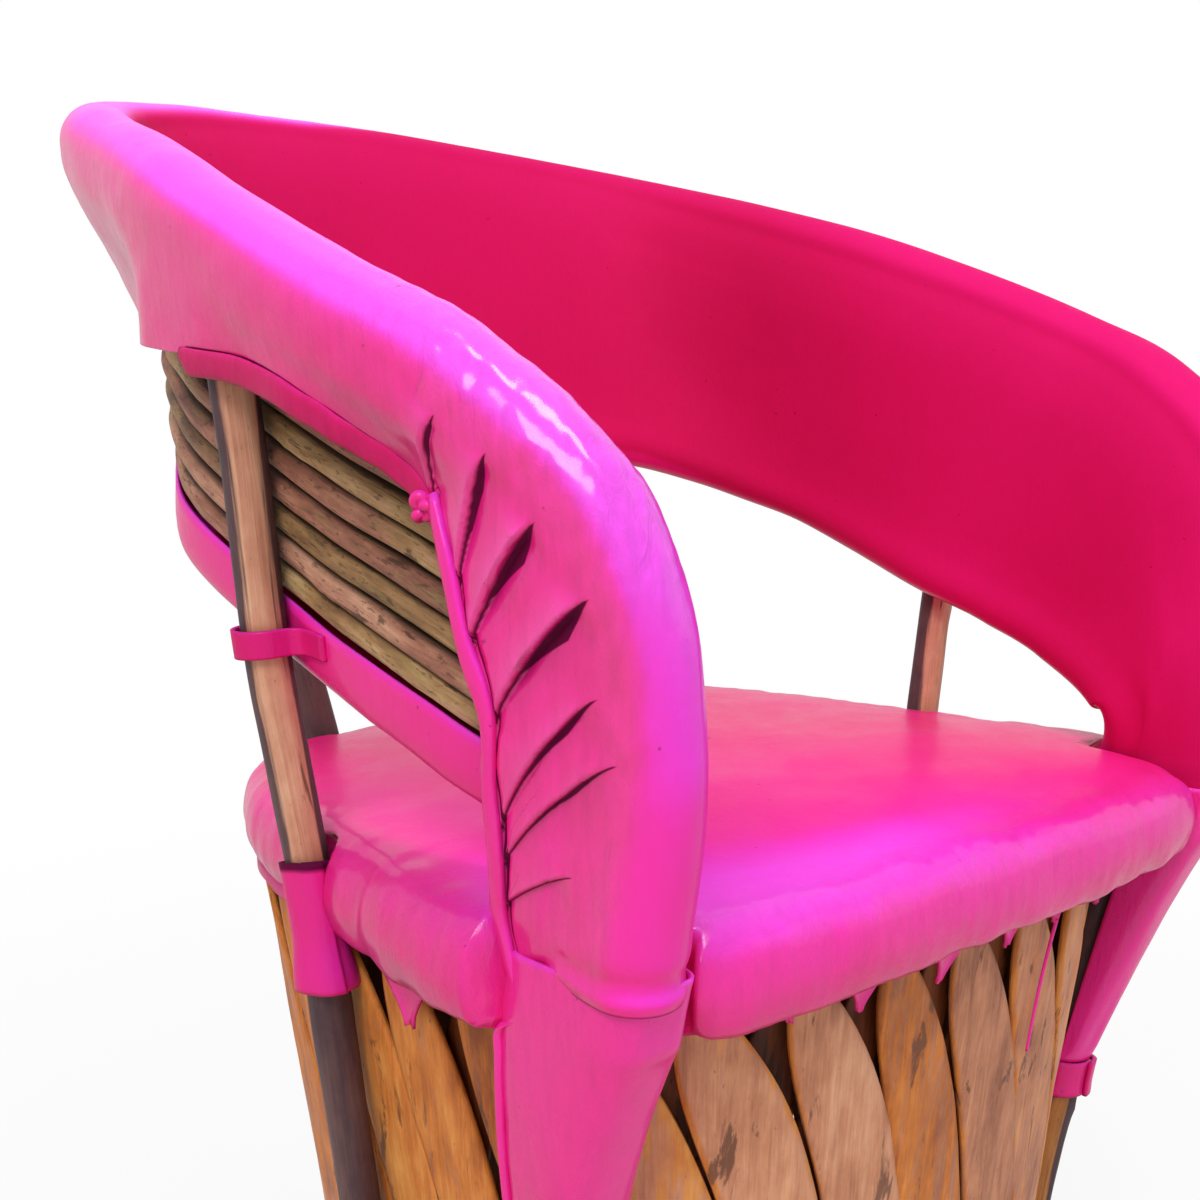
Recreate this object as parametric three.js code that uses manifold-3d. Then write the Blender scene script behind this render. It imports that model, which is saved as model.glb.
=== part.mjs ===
// Equipale chair: a drum of crossed cedar slats, six round posts, a leather seat
// and one padded leather cover that forms the back and both arms.
// Millimetres, +Z up. The sitter faces -Y and the sitter's right side is -X.
import * as THREE from 'three';
import { mergeVertices } from 'three/addons/utils/BufferGeometryUtils.js';
import Module from 'manifold-3d';

const wasm = await Module();
wasm.setup();

// Driving dimensions
const seatHeight = 450;
const seatThickness = 56;
const seatCrown = 12;
const drumTopHalfWidth = 243;
const drumTopHalfDepth = 224;
const drumFootHalfWidth = 207;
const drumFootHalfDepth = 190;
const backRise = 399;
const lowBackRise = 175;
const armDrop = 42;
const seatSideOverhang = 19.5;
const seatEndOverhang = 25.4;
const armFlare = 48;
const backLean = 148;
const armLead = 15;
const lowFlare = 23;
const lowBackLean = 66;
const lowFrontSetback = 56;
const railRadius = 14;
const lowRailRadius = 9;
const postRadius = 12;
const frontPostRadius = 14.5;
const fullRollRadius = 27;
const skinThickness = 6;
const wrapThickness = 2.4;
const flapThickness = 3;
const strapThickness = 2.5;
const clearance = 0.4;
const curveSlack = 1.4;
const skinSlack = 3.2;
const layerGap = 5.9;
const weld = 0.001;
const coverSteps = 48;

// Plan of the seat, the arms and the back, spread from the drum's top
const seatHalfWidth = drumTopHalfWidth + seatSideOverhang;
const seatHalfDepth = drumTopHalfDepth + seatEndOverhang;
const armHalfSpan = drumTopHalfWidth + armFlare;
const backReach = drumTopHalfDepth + backLean;
const armReach = drumTopHalfDepth + armLead;
const lowHalfSpan = drumTopHalfWidth + lowFlare;
const lowBackReach = drumTopHalfDepth + lowBackLean;
const lowFrontReach = drumTopHalfDepth - lowFrontSetback;

// Slats
const slatPairs = 26;
const slatWidth = 55;
const innerSlatWidth = 47;
const slatThickness = 6;
const slatFootHeight = 2.5;
const slatTipCover = 8;
const slatLeanShare = 0.07;
const pegRadius = 2.6;
const pegHead = 1.2;
const slatWidthShares = [0.76, 0.9, 1, 0.95, 0.52, 0.14];
const slatHeightShares = [0, 0.22, 0.5, 0.76, 0.94, 1];

// Hoops and deck
const hoopHeight = 24;
const hoopWidth = 34;
const hoopEdge = 5;
const hoopSlack = 1.02;
const innerHoopRadius = 9;
const seatHoopRadius = 10;
const deckThickness = 8;
const caneWidth = 22;

// Posts
const frontPostTopStandoff = 27;
const frontPostFootStandoff = 17.5;
const frontPostTopAngle = THREE.MathUtils.degToRad(219.2);
const frontPostFootAngle = THREE.MathUtils.degToRad(213);
const sidePostAngle = THREE.MathUtils.degToRad(176.3);
const backPostAngle = THREE.MathUtils.degToRad(115.8);
const railInset = 4;

// Back sticks
const stickCount = 8;
const stickRadius = 6.9;
const stickPitch = 14.9;

// Leather details
const seamThickness = 3;
const seamWidth = 9;
const collarHeight = 26;
const collarFootDrop = 206;
const sheathThickness = 2.6;
const sheathDrop = 8;
const sheathOutward = 28;
const sheathInward = 16;
const sheathForward = 58;
const sheathRearward = 26;
const sleeveThickness = 1.8;
const sleeveFootDrop = 32;
const sleeveHeight = 72;
const strapWidth = 15;
const upperStrapWidth = 14;

// Heights that follow the seat
const hemHeight = seatHeight - seatThickness;
const armFoot = seatHeight - armDrop;
const slatTopHeight = hemHeight + slatTipCover;
const collarFoot = armFoot - collarFootDrop;
const sleeveFoot = hemHeight - sleeveFootDrop;
const outlinePower = 3.2;
const seatPower = 4.25;
const seatTaper = 0.174;

// Offsets across the back, measured outwards from the top rail's own surface
const stickLine = railInset - postRadius - clearance - stickRadius;
const skinOuter = stickLine - stickRadius - skinSlack;
const lowRailLine = railInset - postRadius - clearance - wrapThickness - curveSlack - lowRailRadius;
const flapLine = railInset + postRadius + 2 * curveSlack + flapThickness / 2;
const wrapLine = railInset - postRadius - clearance - wrapThickness / 2;
const wrapOverlap = 12;
const wrapRise = lowRailRadius + wrapThickness + clearance + wrapOverlap;
const boreRadius = railRadius + 1.6 * curveSlack;

// Stations from the foot of the arm to the middle of the back. Each row holds the top
// rail's place, the lower edge's place and the outer flap's length, as shares.
const flapLength = 120;
const columnFlapLine = 19.5;
const hemTurn = 3.5;
const columnFlapThickness = 9;
const columnSkinThickness = 4;
const columnSkinLine = -24.8;
const stationShares = [
  { rail: [0.84, -0.94, 0.04], low: [0.88, -0.92, 0], flap: 0.45, reachOut: 1, column: 1, roll: 0.78 },
  { rail: [0.84, -0.95, 0.1], low: [0.9, -0.96, 0.15], flap: 0.55, reachOut: 1, column: 1, roll: 0.85 },
  { rail: [0.83, -0.98, 0.28], low: [0.93, -1.02, 0.3], flap: 0.82, reachOut: 1, column: 0, roll: 0.81 },
  { rail: [0.88, -0.93, 0.48], low: [1.01, -0.66, 0.46], flap: 0.67, reachOut: 1, column: 0, roll: 0.85 },
  { rail: [0.95, -0.66, 0.605], low: [1.03, -0.34, 0.545], flap: 0.34, reachOut: 0.4, column: 0, roll: 0.89 },
  { rail: [1, -0.36, 0.68], low: [1.03, -0.01, 0.625], flap: 0.29, reachOut: 0.85, column: 0, roll: 0.84 },
  { rail: [0.955, 0.25, 0.83], low: [1.01, 0.5, 0.875], flap: 0.6, reachOut: -0.2, column: 0, roll: 0.85 },
  { rail: [0.715, 0.815, 0.96], low: [0.695, 0.885, 1.03], flap: 1, reachOut: -0.25, column: 0, roll: 0.86 },
  { rail: [0, 1.02, 1.005], low: [0, 1.02, 0.97], flap: 1, reachOut: 0.3, column: 0, roll: 0.93 },
];
const lastStation = stationShares.length - 1;

// Places along the back: 0 at the sitter's right arm foot, 0.5 in the middle, 1 at the left.
const frontMidShare = 0.119;
const frontTopShare = 0.2125;
const sideLowShare = 0.322;
const sideTopShare = 0.347;
const backLowShare = 0.451;
const backTopShare = 0.455;
const lowRailShare = 8 / coverSteps;
const seamTopShare = 0.235;
const strapFromShare = 0.24;
const strapToShare = 0.372;
const bumpNearShare = 0.0075;
const bumpFarShare = 0.034;

const chair = new THREE.Group();

const leather = new THREE.MeshStandardMaterial({ color: 0xe0308a, roughness: 0.38, metalness: 0 });
const cushionLeather = new THREE.MeshStandardMaterial({ color: 0xf03ca0, roughness: 0.34, metalness: 0 });
const strapLeather = new THREE.MeshStandardMaterial({ color: 0xd62a72, roughness: 0.5, metalness: 0 });
const cedar = new THREE.MeshStandardMaterial({ color: 0xc08a55, roughness: 0.7, metalness: 0 });
const bark = new THREE.MeshStandardMaterial({ color: 0x5a3c40, roughness: 0.8, metalness: 0 });
const peeledWood = new THREE.MeshStandardMaterial({ color: 0xb9825f, roughness: 0.65, metalness: 0 });
const stickWood = new THREE.MeshStandardMaterial({ color: 0x8a6a48, roughness: 0.75, metalness: 0 });
const hoopWood = new THREE.MeshStandardMaterial({ color: 0x7a5236, roughness: 0.75, metalness: 0 });
const reed = new THREE.MeshStandardMaterial({ color: 0xb79a62, roughness: 0.8, metalness: 0 });

function addPiece(name, geometry, material) {
  const mesh = new THREE.Mesh(geometry, material);
  mesh.name = name;
  chair.add(mesh);
}

// Triangles that close the end of a loft, found in the plane of its ring.
function capFaces(ring, start) {
  const normal = new THREE.Vector3();
  ring.forEach((point, index) => {
    const next = ring[(index + 1) % ring.length];
    normal.add(point.clone().sub(ring[0]).cross(next.clone().sub(ring[0])));
  });
  normal.normalize();
  const across = ring[1].clone().sub(ring[0]).projectOnPlane(normal).normalize();
  const along = normal.clone().cross(across);
  const flat = ring.map((point) => {
    const arm = point.clone().sub(ring[0]);
    return new THREE.Vector2(arm.dot(across), arm.dot(along));
  });
  const faces = THREE.ShapeUtils.triangulateShape(flat, []);
  const turn = (face) => {
    const [a, b, c] = face.map((index) => flat[index]);
    return (b.x - a.x) * (c.y - a.y) - (c.x - a.x) * (b.y - a.y);
  };
  const total = faces.reduce((sum, face) => sum + turn(face), 0);
  return faces.map((face) => {
    const ordered = total > 0 ? face : [face[0], face[2], face[1]];
    return ordered.map((index) => start + index);
  });
}

// Closed skin over a row of rings that all have the same number of points.
function loft(rings, closed = false) {
  const count = rings[0].length;
  const faces = [];
  const spans = closed ? rings.length : rings.length - 1;
  for (let span = 0; span < spans; span++) {
    const here = span * count;
    const there = ((span + 1) % rings.length) * count;
    for (let step = 0; step < count; step++) {
      const next = (step + 1) % count;
      faces.push([here + step, here + next, there + next]);
      faces.push([here + step, there + next, there + step]);
    }
  }
  if (!closed) {
    const first = capFaces(rings[0], 0);
    first.forEach(([a, b, c]) => faces.push([a, c, b]));
    capFaces(rings[rings.length - 1], spans * count).forEach((face) => faces.push(face));
  }
  const points = rings.flat();
  let volume = 0;
  faces.forEach(([a, b, c]) => {
    volume += points[a].dot(points[b].clone().cross(points[c]));
  });
  const outward = volume > 0 ? faces : faces.map(([a, b, c]) => [a, c, b]);
  const geometry = new THREE.BufferGeometry().setFromPoints(points);
  geometry.setIndex(outward.flat());
  geometry.computeVertexNormals();
  return geometry;
}

function toSolid(geometry) {
  const bare = geometry.clone();
  bare.deleteAttribute('normal');
  bare.deleteAttribute('uv');
  const merged = mergeVertices(bare, weld);
  return new wasm.Manifold(new wasm.Mesh({
    numProp: 3,
    vertProperties: new Float32Array(merged.attributes.position.array),
    triVerts: new Uint32Array(merged.index.array),
  }));
}

function toGeometry(solid) {
  const mesh = solid.getMesh();
  const geometry = new THREE.BufferGeometry();
  const places = new Float32Array(mesh.vertProperties);
  geometry.setAttribute('position', new THREE.BufferAttribute(places, 3));
  geometry.setIndex(Array.from(mesh.triVerts));
  geometry.computeVertexNormals();
  return geometry;
}

// Path whose points are handed over ready made, so that two pieces share their sections.
class GivenPath extends THREE.Curve {
  constructor(points) {
    super();
    this.points = points;
  }

  getPoint(share, target = new THREE.Vector3()) {
    const index = Math.round(share * (this.points.length - 1));
    return target.copy(this.points[index]);
  }

  getPointAt(share, target) {
    return this.getPoint(share, target);
  }

  getTangent(share, target = new THREE.Vector3()) {
    const last = this.points.length - 1;
    const index = Math.round(share * last);
    const before = this.points[Math.max(index - 1, 0)];
    const after = this.points[Math.min(index + 1, last)];
    return target.copy(after).sub(before).normalize();
  }

  getTangentAt(share, target) {
    return this.getTangent(share, target);
  }
}

// Round bar through given points, with a section at each of them.
function steppedBar(points, radius, sides) {
  const section = new THREE.Shape();
  section.absarc(0, 0, radius, 0, 2 * Math.PI, false);
  const steps = points.length - 1;
  const extrudePath = new GivenPath(points);
  return new THREE.ExtrudeGeometry(section, { steps, curveSegments: sides / 2, extrudePath });
}

// Round bar along a list of points.
function bar(points, radius, sides, steps) {
  const section = new THREE.Shape();
  section.absarc(0, 0, radius, 0, 2 * Math.PI, false);
  const path = new THREE.CatmullRomCurve3(points, false, 'centripetal');
  return new THREE.ExtrudeGeometry(section, { steps, curveSegments: sides / 2, extrudePath: path });
}

// Closed outline round a bent line that has its own thickness at each point.
function ribbonOutline(spine) {
  const left = [];
  const right = [];
  spine.forEach(([x, y, thickness], index) => {
    const before = spine[Math.max(index - 1, 0)];
    const after = spine[Math.min(index + 1, spine.length - 1)];
    const run = new THREE.Vector2(after[0] - before[0], after[1] - before[1]).normalize();
    const half = thickness / 2;
    left.push(new THREE.Vector2(x - run.y * half, y + run.x * half));
    right.push(new THREE.Vector2(x + run.y * half, y - run.x * half));
  });
  return left.concat(right.reverse());
}

// Level outline of the drum or the seat at an angle, with its outward direction.
function squareRound(angle, halfWidth, halfDepth, power, taper = 0) {
  const cosine = Math.cos(angle);
  const sine = Math.sin(angle);
  const stretch = (Math.abs(cosine) ** power + Math.abs(sine) ** power) ** (-1 / power);
  const x = halfWidth * stretch * cosine * (1 - taper * stretch * sine);
  const y = halfDepth * stretch * sine;
  return new THREE.Vector2(x, y);
}

function offsetOutline(angle, halfWidth, halfDepth, power, offset, taper = 0) {
  const nudge = 0.01;
  const here = squareRound(angle, halfWidth, halfDepth, power, taper);
  const ahead = squareRound(angle + nudge, halfWidth, halfDepth, power, taper);
  const behind = squareRound(angle - nudge, halfWidth, halfDepth, power, taper);
  const run = ahead.sub(behind).normalize();
  return new THREE.Vector2(here.x + run.y * offset, here.y - run.x * offset);
}

function drumPoint(angle, height, offset) {
  const share = height / hemHeight;
  const halfWidth = THREE.MathUtils.lerp(drumFootHalfWidth, drumTopHalfWidth, share);
  const halfDepth = THREE.MathUtils.lerp(drumFootHalfDepth, drumTopHalfDepth, share);
  const flat = offsetOutline(angle, halfWidth, halfDepth, outlinePower, offset);
  return new THREE.Vector3(flat.x, flat.y, height);
}

// Angles at even distances round the drum.
const outlineSteps = 720;
const outlineWalk = [0];
for (let step = 1; step <= outlineSteps; step++) {
  const here = drumPoint(2 * Math.PI * step / outlineSteps, hemHeight / 2, 0);
  const before = drumPoint(2 * Math.PI * (step - 1) / outlineSteps, hemHeight / 2, 0);
  outlineWalk.push(outlineWalk[step - 1] + here.distanceTo(before));
}
const drumPerimeter = outlineWalk[outlineSteps];

function angleAtShare(share) {
  const target = (share - Math.floor(share)) * drumPerimeter;
  let step = 1;
  while (outlineWalk[step] < target) {
    step += 1;
  }
  const span = outlineWalk[step] - outlineWalk[step - 1];
  const part = (target - outlineWalk[step - 1]) / span;
  return 2 * Math.PI * (step - 1 + part) / outlineSteps;
}

// Surface of the back: position 0 is one arm's foot, 1 the other's.
function railPlace([wide, deep, high], side) {
  const reach = deep < 0 ? armReach : backReach;
  return new THREE.Vector3(side * wide * armHalfSpan, deep * reach, armFoot + high * (armDrop + backRise));
}

function lowPlace([wide, deep, high], side) {
  const reach = deep < 0 ? lowFrontReach : lowBackReach;
  return new THREE.Vector3(side * wide * lowHalfSpan, deep * reach, armFoot + high * (armDrop + lowBackRise));
}

const rightHalf = stationShares.map((row) => ({ row, side: -1 }));
const leftHalf = stationShares.slice(0, lastStation).reverse().map((row) => ({ row, side: 1 }));
const stations = rightHalf.concat(leftHalf);
const railPoints = stations.map(({ row, side }) => railPlace(row.rail, side));
const lowPoints = stations.map(({ row, side }) => lowPlace(row.low, side));
const railCurve = new THREE.CatmullRomCurve3(railPoints, false, 'centripetal');
const lowCurve = new THREE.CatmullRomCurve3(lowPoints, false, 'centripetal');

// A value of the station table at a place along the back.
function stationValue(place, key) {
  const scaled = Math.min(Math.max(place, 0), 1) * (stations.length - 1);
  const index = Math.min(Math.floor(scaled), stations.length - 2);
  const part = scaled - index;
  const ease = part * part * (3 - 2 * part);
  return THREE.MathUtils.lerp(stations[index].row[key], stations[index + 1].row[key], ease);
}

function backFrame(place) {
  const origin = railCurve.getPoint(place);
  const low = lowCurve.getPoint(place);
  const tangent = railCurve.getTangent(place);
  const lowTangent = lowCurve.getTangent(place);
  const down = low.clone().sub(origin);
  const depth = down.length();
  down.normalize();
  const out = down.clone().cross(tangent).normalize();
  const axis = new THREE.Vector3(0, 0, origin.z);
  if (out.dot(origin.clone().sub(axis)) < 0) {
    out.negate();
  }
  const downAtRail = down.clone().projectOnPlane(tangent).normalize();
  const outAtLow = out.clone().projectOnPlane(lowTangent).normalize();
  const downAtLow = down.clone().projectOnPlane(lowTangent).projectOnPlane(outAtLow).normalize();
  return { origin, low, down, out, depth, downAtRail, outAtLow, downAtLow };
}

// A point of the back by its distance outwards and its depth below the top rail. Sections
// stand square to the top rail near it and square to the lower edge near that.
function backPoint(frame, across, deep) {
  const zone = Math.min(2 * fullRollRadius, frame.depth / 2);
  const nearTop = 1 - THREE.MathUtils.smoothstep(deep, zone * 0.5, zone);
  const nearLow = THREE.MathUtils.smoothstep(deep, frame.depth - zone, frame.depth - zone * 0.5);
  const top = frame.origin.clone().addScaledVector(frame.out, across).addScaledVector(frame.downAtRail, deep);
  const between = frame.origin.clone().addScaledVector(frame.out, across).addScaledVector(frame.down, deep);
  const foot = frame.low.clone().addScaledVector(frame.outAtLow, across);
  foot.addScaledVector(frame.downAtLow, deep - frame.depth);
  return between.lerp(top, nearTop).lerp(foot, nearLow);
}

// Where a line at a given depth above the lower edge passes a chosen Y, on the right arm.
function placeAtY(targetY, across, aboveLow) {
  let near = 0;
  let far = 0.5;
  for (let round = 0; round < 30; round++) {
    const middle = (near + far) / 2;
    const frame = backFrame(middle);
    if (backPoint(frame, across, frame.depth - aboveLow).y < targetY) {
      near = middle;
    } else {
      far = middle;
    }
  }
  return near;
}

// Floor hoop, with a flat underside that the chair stands on
const hoopSteps = 40;
function hoopRing(angle) {
  const section = [
    [0, 0], [hoopWidth - hoopEdge, 0], [hoopWidth, hoopEdge],
    [hoopWidth, hoopHeight - hoopEdge], [hoopWidth - hoopEdge, hoopHeight], [0, hoopHeight],
  ];
  return section.map(([across, high]) => {
    const place = drumPoint(angle, hoopHeight, hoopSlack + across);
    place.z = high;
    return place;
  });
}
const hoopRings = [];
for (let step = 0; step < hoopSteps; step++) {
  hoopRings.push(hoopRing(2 * Math.PI * step / hoopSteps));
}
addPiece('floor_hoop', loft(hoopRings, true), hoopWood);

// Round hoops inside the slats
const slatStack = 2 * slatThickness + layerGap;
function roundHoop(radius, height, sides) {
  const rings = [];
  for (let step = 0; step < hoopSteps; step++) {
    const angle = 2 * Math.PI * step / hoopSteps;
    const ring = [];
    for (let side = 0; side < sides; side++) {
      const turn = 2 * Math.PI * (side + 0.5) / sides;
      const rise = radius * Math.sin(turn);
      const inset = slatStack + clearance + radius + radius * Math.cos(turn);
      const lean = (drumTopHalfWidth - drumFootHalfWidth) / hemHeight * radius;
      const place = drumPoint(angle, height, -inset - lean);
      place.z = height + rise;
      ring.push(place);
    }
    rings.push(ring);
  }
  return loft(rings, true);
}
const roundHoopSides = 8;
const seatHoopHeight = hemHeight - seatHoopRadius / 2;
const footHoopHeight = innerHoopRadius + slatFootHeight;
addPiece('foot_binding_hoop', roundHoop(innerHoopRadius, footHoopHeight, roundHoopSides), hoopWood);
addPiece('seat_hoop', roundHoop(seatHoopRadius, seatHoopHeight, roundHoopSides), hoopWood);

// Crossed slat pairs, each pegged through its crossing
function slat(centreShare, leanSign, faceOffset, width) {
  const rings = slatHeightShares.map((heightShare, index) => {
    const height = THREE.MathUtils.lerp(slatFootHeight, slatTopHeight, heightShare);
    const shift = leanSign * slatLeanShare * (0.5 - heightShare);
    const halfWidthShare = width * slatWidthShares[index] / 2 / drumPerimeter;
    const left = angleAtShare(centreShare + shift - halfWidthShare);
    const right = angleAtShare(centreShare + shift + halfWidthShare);
    return [
      drumPoint(left, height, -faceOffset),
      drumPoint(right, height, -faceOffset),
      drumPoint(right, height, -faceOffset - slatThickness),
      drumPoint(left, height, -faceOffset - slatThickness),
    ];
  });
  return loft(rings);
}

function peg(centreShare) {
  const angle = angleAtShare(centreShare);
  const height = THREE.MathUtils.lerp(slatFootHeight, slatTopHeight, 0.5);
  const outer = drumPoint(angle, height, pegHead);
  const inner = drumPoint(angle, height, -slatStack - pegHead);
  const length = outer.distanceTo(inner);
  const pin = new THREE.CylinderGeometry(pegRadius, pegRadius, length, 6);
  const turn = new THREE.Quaternion();
  turn.setFromUnitVectors(new THREE.Vector3(0, 1, 0), outer.clone().sub(inner).normalize());
  pin.applyQuaternion(turn);
  const middle = outer.add(inner).multiplyScalar(0.5);
  pin.translate(middle.x, middle.y, middle.z);
  return pin;
}

for (let pair = 0; pair < slatPairs; pair++) {
  const share = (pair + 0.5) / slatPairs;
  const outerSlat = toSolid(slat(share, 1, 0, slatWidth));
  const innerSlat = toSolid(slat(share, -1, slatThickness + layerGap, innerSlatWidth));
  const pairSolid = outerSlat.add(innerSlat).add(toSolid(peg(share)));
  const name = `slat_pair_${String(pair + 1).padStart(2, '0')}`;
  addPiece(name, toGeometry(pairSolid), cedar);
}

// Seat deck of split reeds, on the seat hoop
const seatHoopRise = seatHoopRadius * Math.cos(Math.PI / roundHoopSides);
const deckFoot = seatHoopHeight + seatHoopRise + clearance;
const deckTop = deckFoot + deckThickness;
function deckGeometry() {
  const inset = slatStack + 2 * clearance;
  const outline = new THREE.Shape();
  for (let step = 0; step < hoopSteps; step++) {
    const edge = drumPoint(2 * Math.PI * step / hoopSteps, hemHeight, -inset);
    if (step === 0) {
      outline.moveTo(edge.x, edge.y);
    } else {
      outline.lineTo(edge.x, edge.y);
    }
  }
  outline.closePath();
  const plate = new THREE.ExtrudeGeometry(outline, { depth: deckThickness, bevelEnabled: false });
  plate.translate(0, 0, deckFoot);
  const profile = new THREE.Shape();
  const reeds = Math.ceil(drumTopHalfWidth / caneWidth) + 1;
  const groove = deckThickness * 0.35;
  profile.moveTo(-reeds * caneWidth, deckFoot - clearance);
  for (let cane = -reeds; cane < reeds; cane++) {
    const start = cane * caneWidth;
    profile.lineTo(start, deckTop - groove);
    profile.lineTo(start + caneWidth * 0.25, deckTop);
    profile.lineTo(start + caneWidth * 0.75, deckTop);
  }
  profile.lineTo(reeds * caneWidth, deckTop - groove);
  profile.lineTo(reeds * caneWidth, deckFoot - clearance);
  profile.closePath();
  const span = 4 * drumTopHalfDepth;
  const ribs = new THREE.ExtrudeGeometry(profile, { depth: span, bevelEnabled: false });
  ribs.rotateX(Math.PI / 2);
  ribs.translate(0, span / 2, 0);
  return toGeometry(toSolid(plate).intersect(toSolid(ribs)));
}
addPiece('seat_deck', deckGeometry(), reed);

// Posts
const kneeStandoff = postRadius + 3 * clearance + sleeveThickness;
const postSides = 10;
const topGap = railRadius + postRadius * 0.42;

function mirror(point, side) {
  return new THREE.Vector3(-side * point.x, point.y, point.z);
}

// Trim a bar flat where it stands on the floor hoop.
function trimmedFoot(geometry) {
  const size = 4 * armHalfSpan;
  const block = new THREE.BoxGeometry(size, size, size);
  block.translate(0, 0, hoopHeight + clearance - size / 2);
  return toGeometry(toSolid(geometry).subtract(toSolid(block)));
}

function surfacePost(angle, lowShare, topShare) {
  const points = [
    drumPoint(angle, 0, kneeStandoff),
    drumPoint(angle, hemHeight / 2, kneeStandoff),
    drumPoint(angle, hemHeight, kneeStandoff),
  ];
  for (const share of [0, 0.25, 0.5, 0.75, 1]) {
    const frame = backFrame(THREE.MathUtils.lerp(lowShare, topShare, share));
    const deep = THREE.MathUtils.lerp(frame.depth, topGap, share);
    points.push(backPoint(frame, railInset, deep));
  }
  return points;
}

const sidePostPoints = surfacePost(sidePostAngle, sideLowShare, sideTopShare);
const backPostPoints = surfacePost(backPostAngle, backLowShare, backTopShare);
const frontTopFrame = backFrame(frontTopShare);
const frontTopDeep = railRadius + frontPostRadius;
const frontMidFrame = backFrame(frontMidShare);
const frontMidDrop = 14;
const frontMidDeep = railRadius + frontPostRadius + frontMidDrop;
const frontPostPoints = [
  drumPoint(frontPostFootAngle, 0, frontPostFootStandoff),
  drumPoint(frontPostTopAngle, hemHeight, frontPostTopStandoff),
  backPoint(frontMidFrame, -railInset, frontMidDeep),
  backPoint(frontTopFrame, 0, frontTopDeep),
];
const sides = [{ word: 'right', side: -1 }, { word: 'left', side: 1 }];
const frontPostCurve = new THREE.CatmullRomCurve3(frontPostPoints, false, 'centripetal');
for (const { word, side } of sides) {
  const postKinds = [
    ['front_post', frontPostPoints, frontPostRadius, bark],
    ['side_post', sidePostPoints, postRadius, peeledWood],
    ['back_post', backPostPoints, postRadius, bark],
  ];
  for (const [kind, points, radius, wood] of postKinds) {
    const path = points.map((point) => mirror(point, side));
    addPiece(`${kind}_${word}`, trimmedFoot(bar(path, radius, postSides, 11)), wood);
  }
}

// Top rail, inside the roll, and the lower rail, inside the lower edge
function curvePoints(from, to, count, across, aboveLow) {
  const points = [];
  for (let step = 0; step <= count; step++) {
    const place = THREE.MathUtils.lerp(from, to, step / count);
    const frame = backFrame(place);
    const deep = aboveLow === null ? 0 : frame.depth - aboveLow;
    points.push(backPoint(frame, across, deep));
  }
  return points;
}
addPiece('top_rail', steppedBar(curvePoints(0, 1, coverSteps, 0, null), railRadius, 8), hoopWood);
const lowRailSteps = coverSteps - 2 * Math.round(coverSteps * lowRailShare);
const lowRailPoints = curvePoints(lowRailShare, 1 - lowRailShare, lowRailSteps, lowRailLine, 0);
addPiece('lower_rail', steppedBar(lowRailPoints, lowRailRadius, 6), hoopWood);

// Row of sticks that fills the back
const stickEndSetback = 20;
const seamY = stickEndSetback - lowFrontReach;
const firstStick = wrapRise + clearance + stickRadius;
for (let stick = 0; stick < stickCount; stick++) {
  const above = firstStick + stick * stickPitch;
  const from = placeAtY(seamY, stickLine, above);
  const points = curvePoints(from, 1 - from, 30, stickLine, above);
  addPiece(`back_stick_${stick + 1}`, bar(points, stickRadius, 6, 26), stickWood);
}

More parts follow.
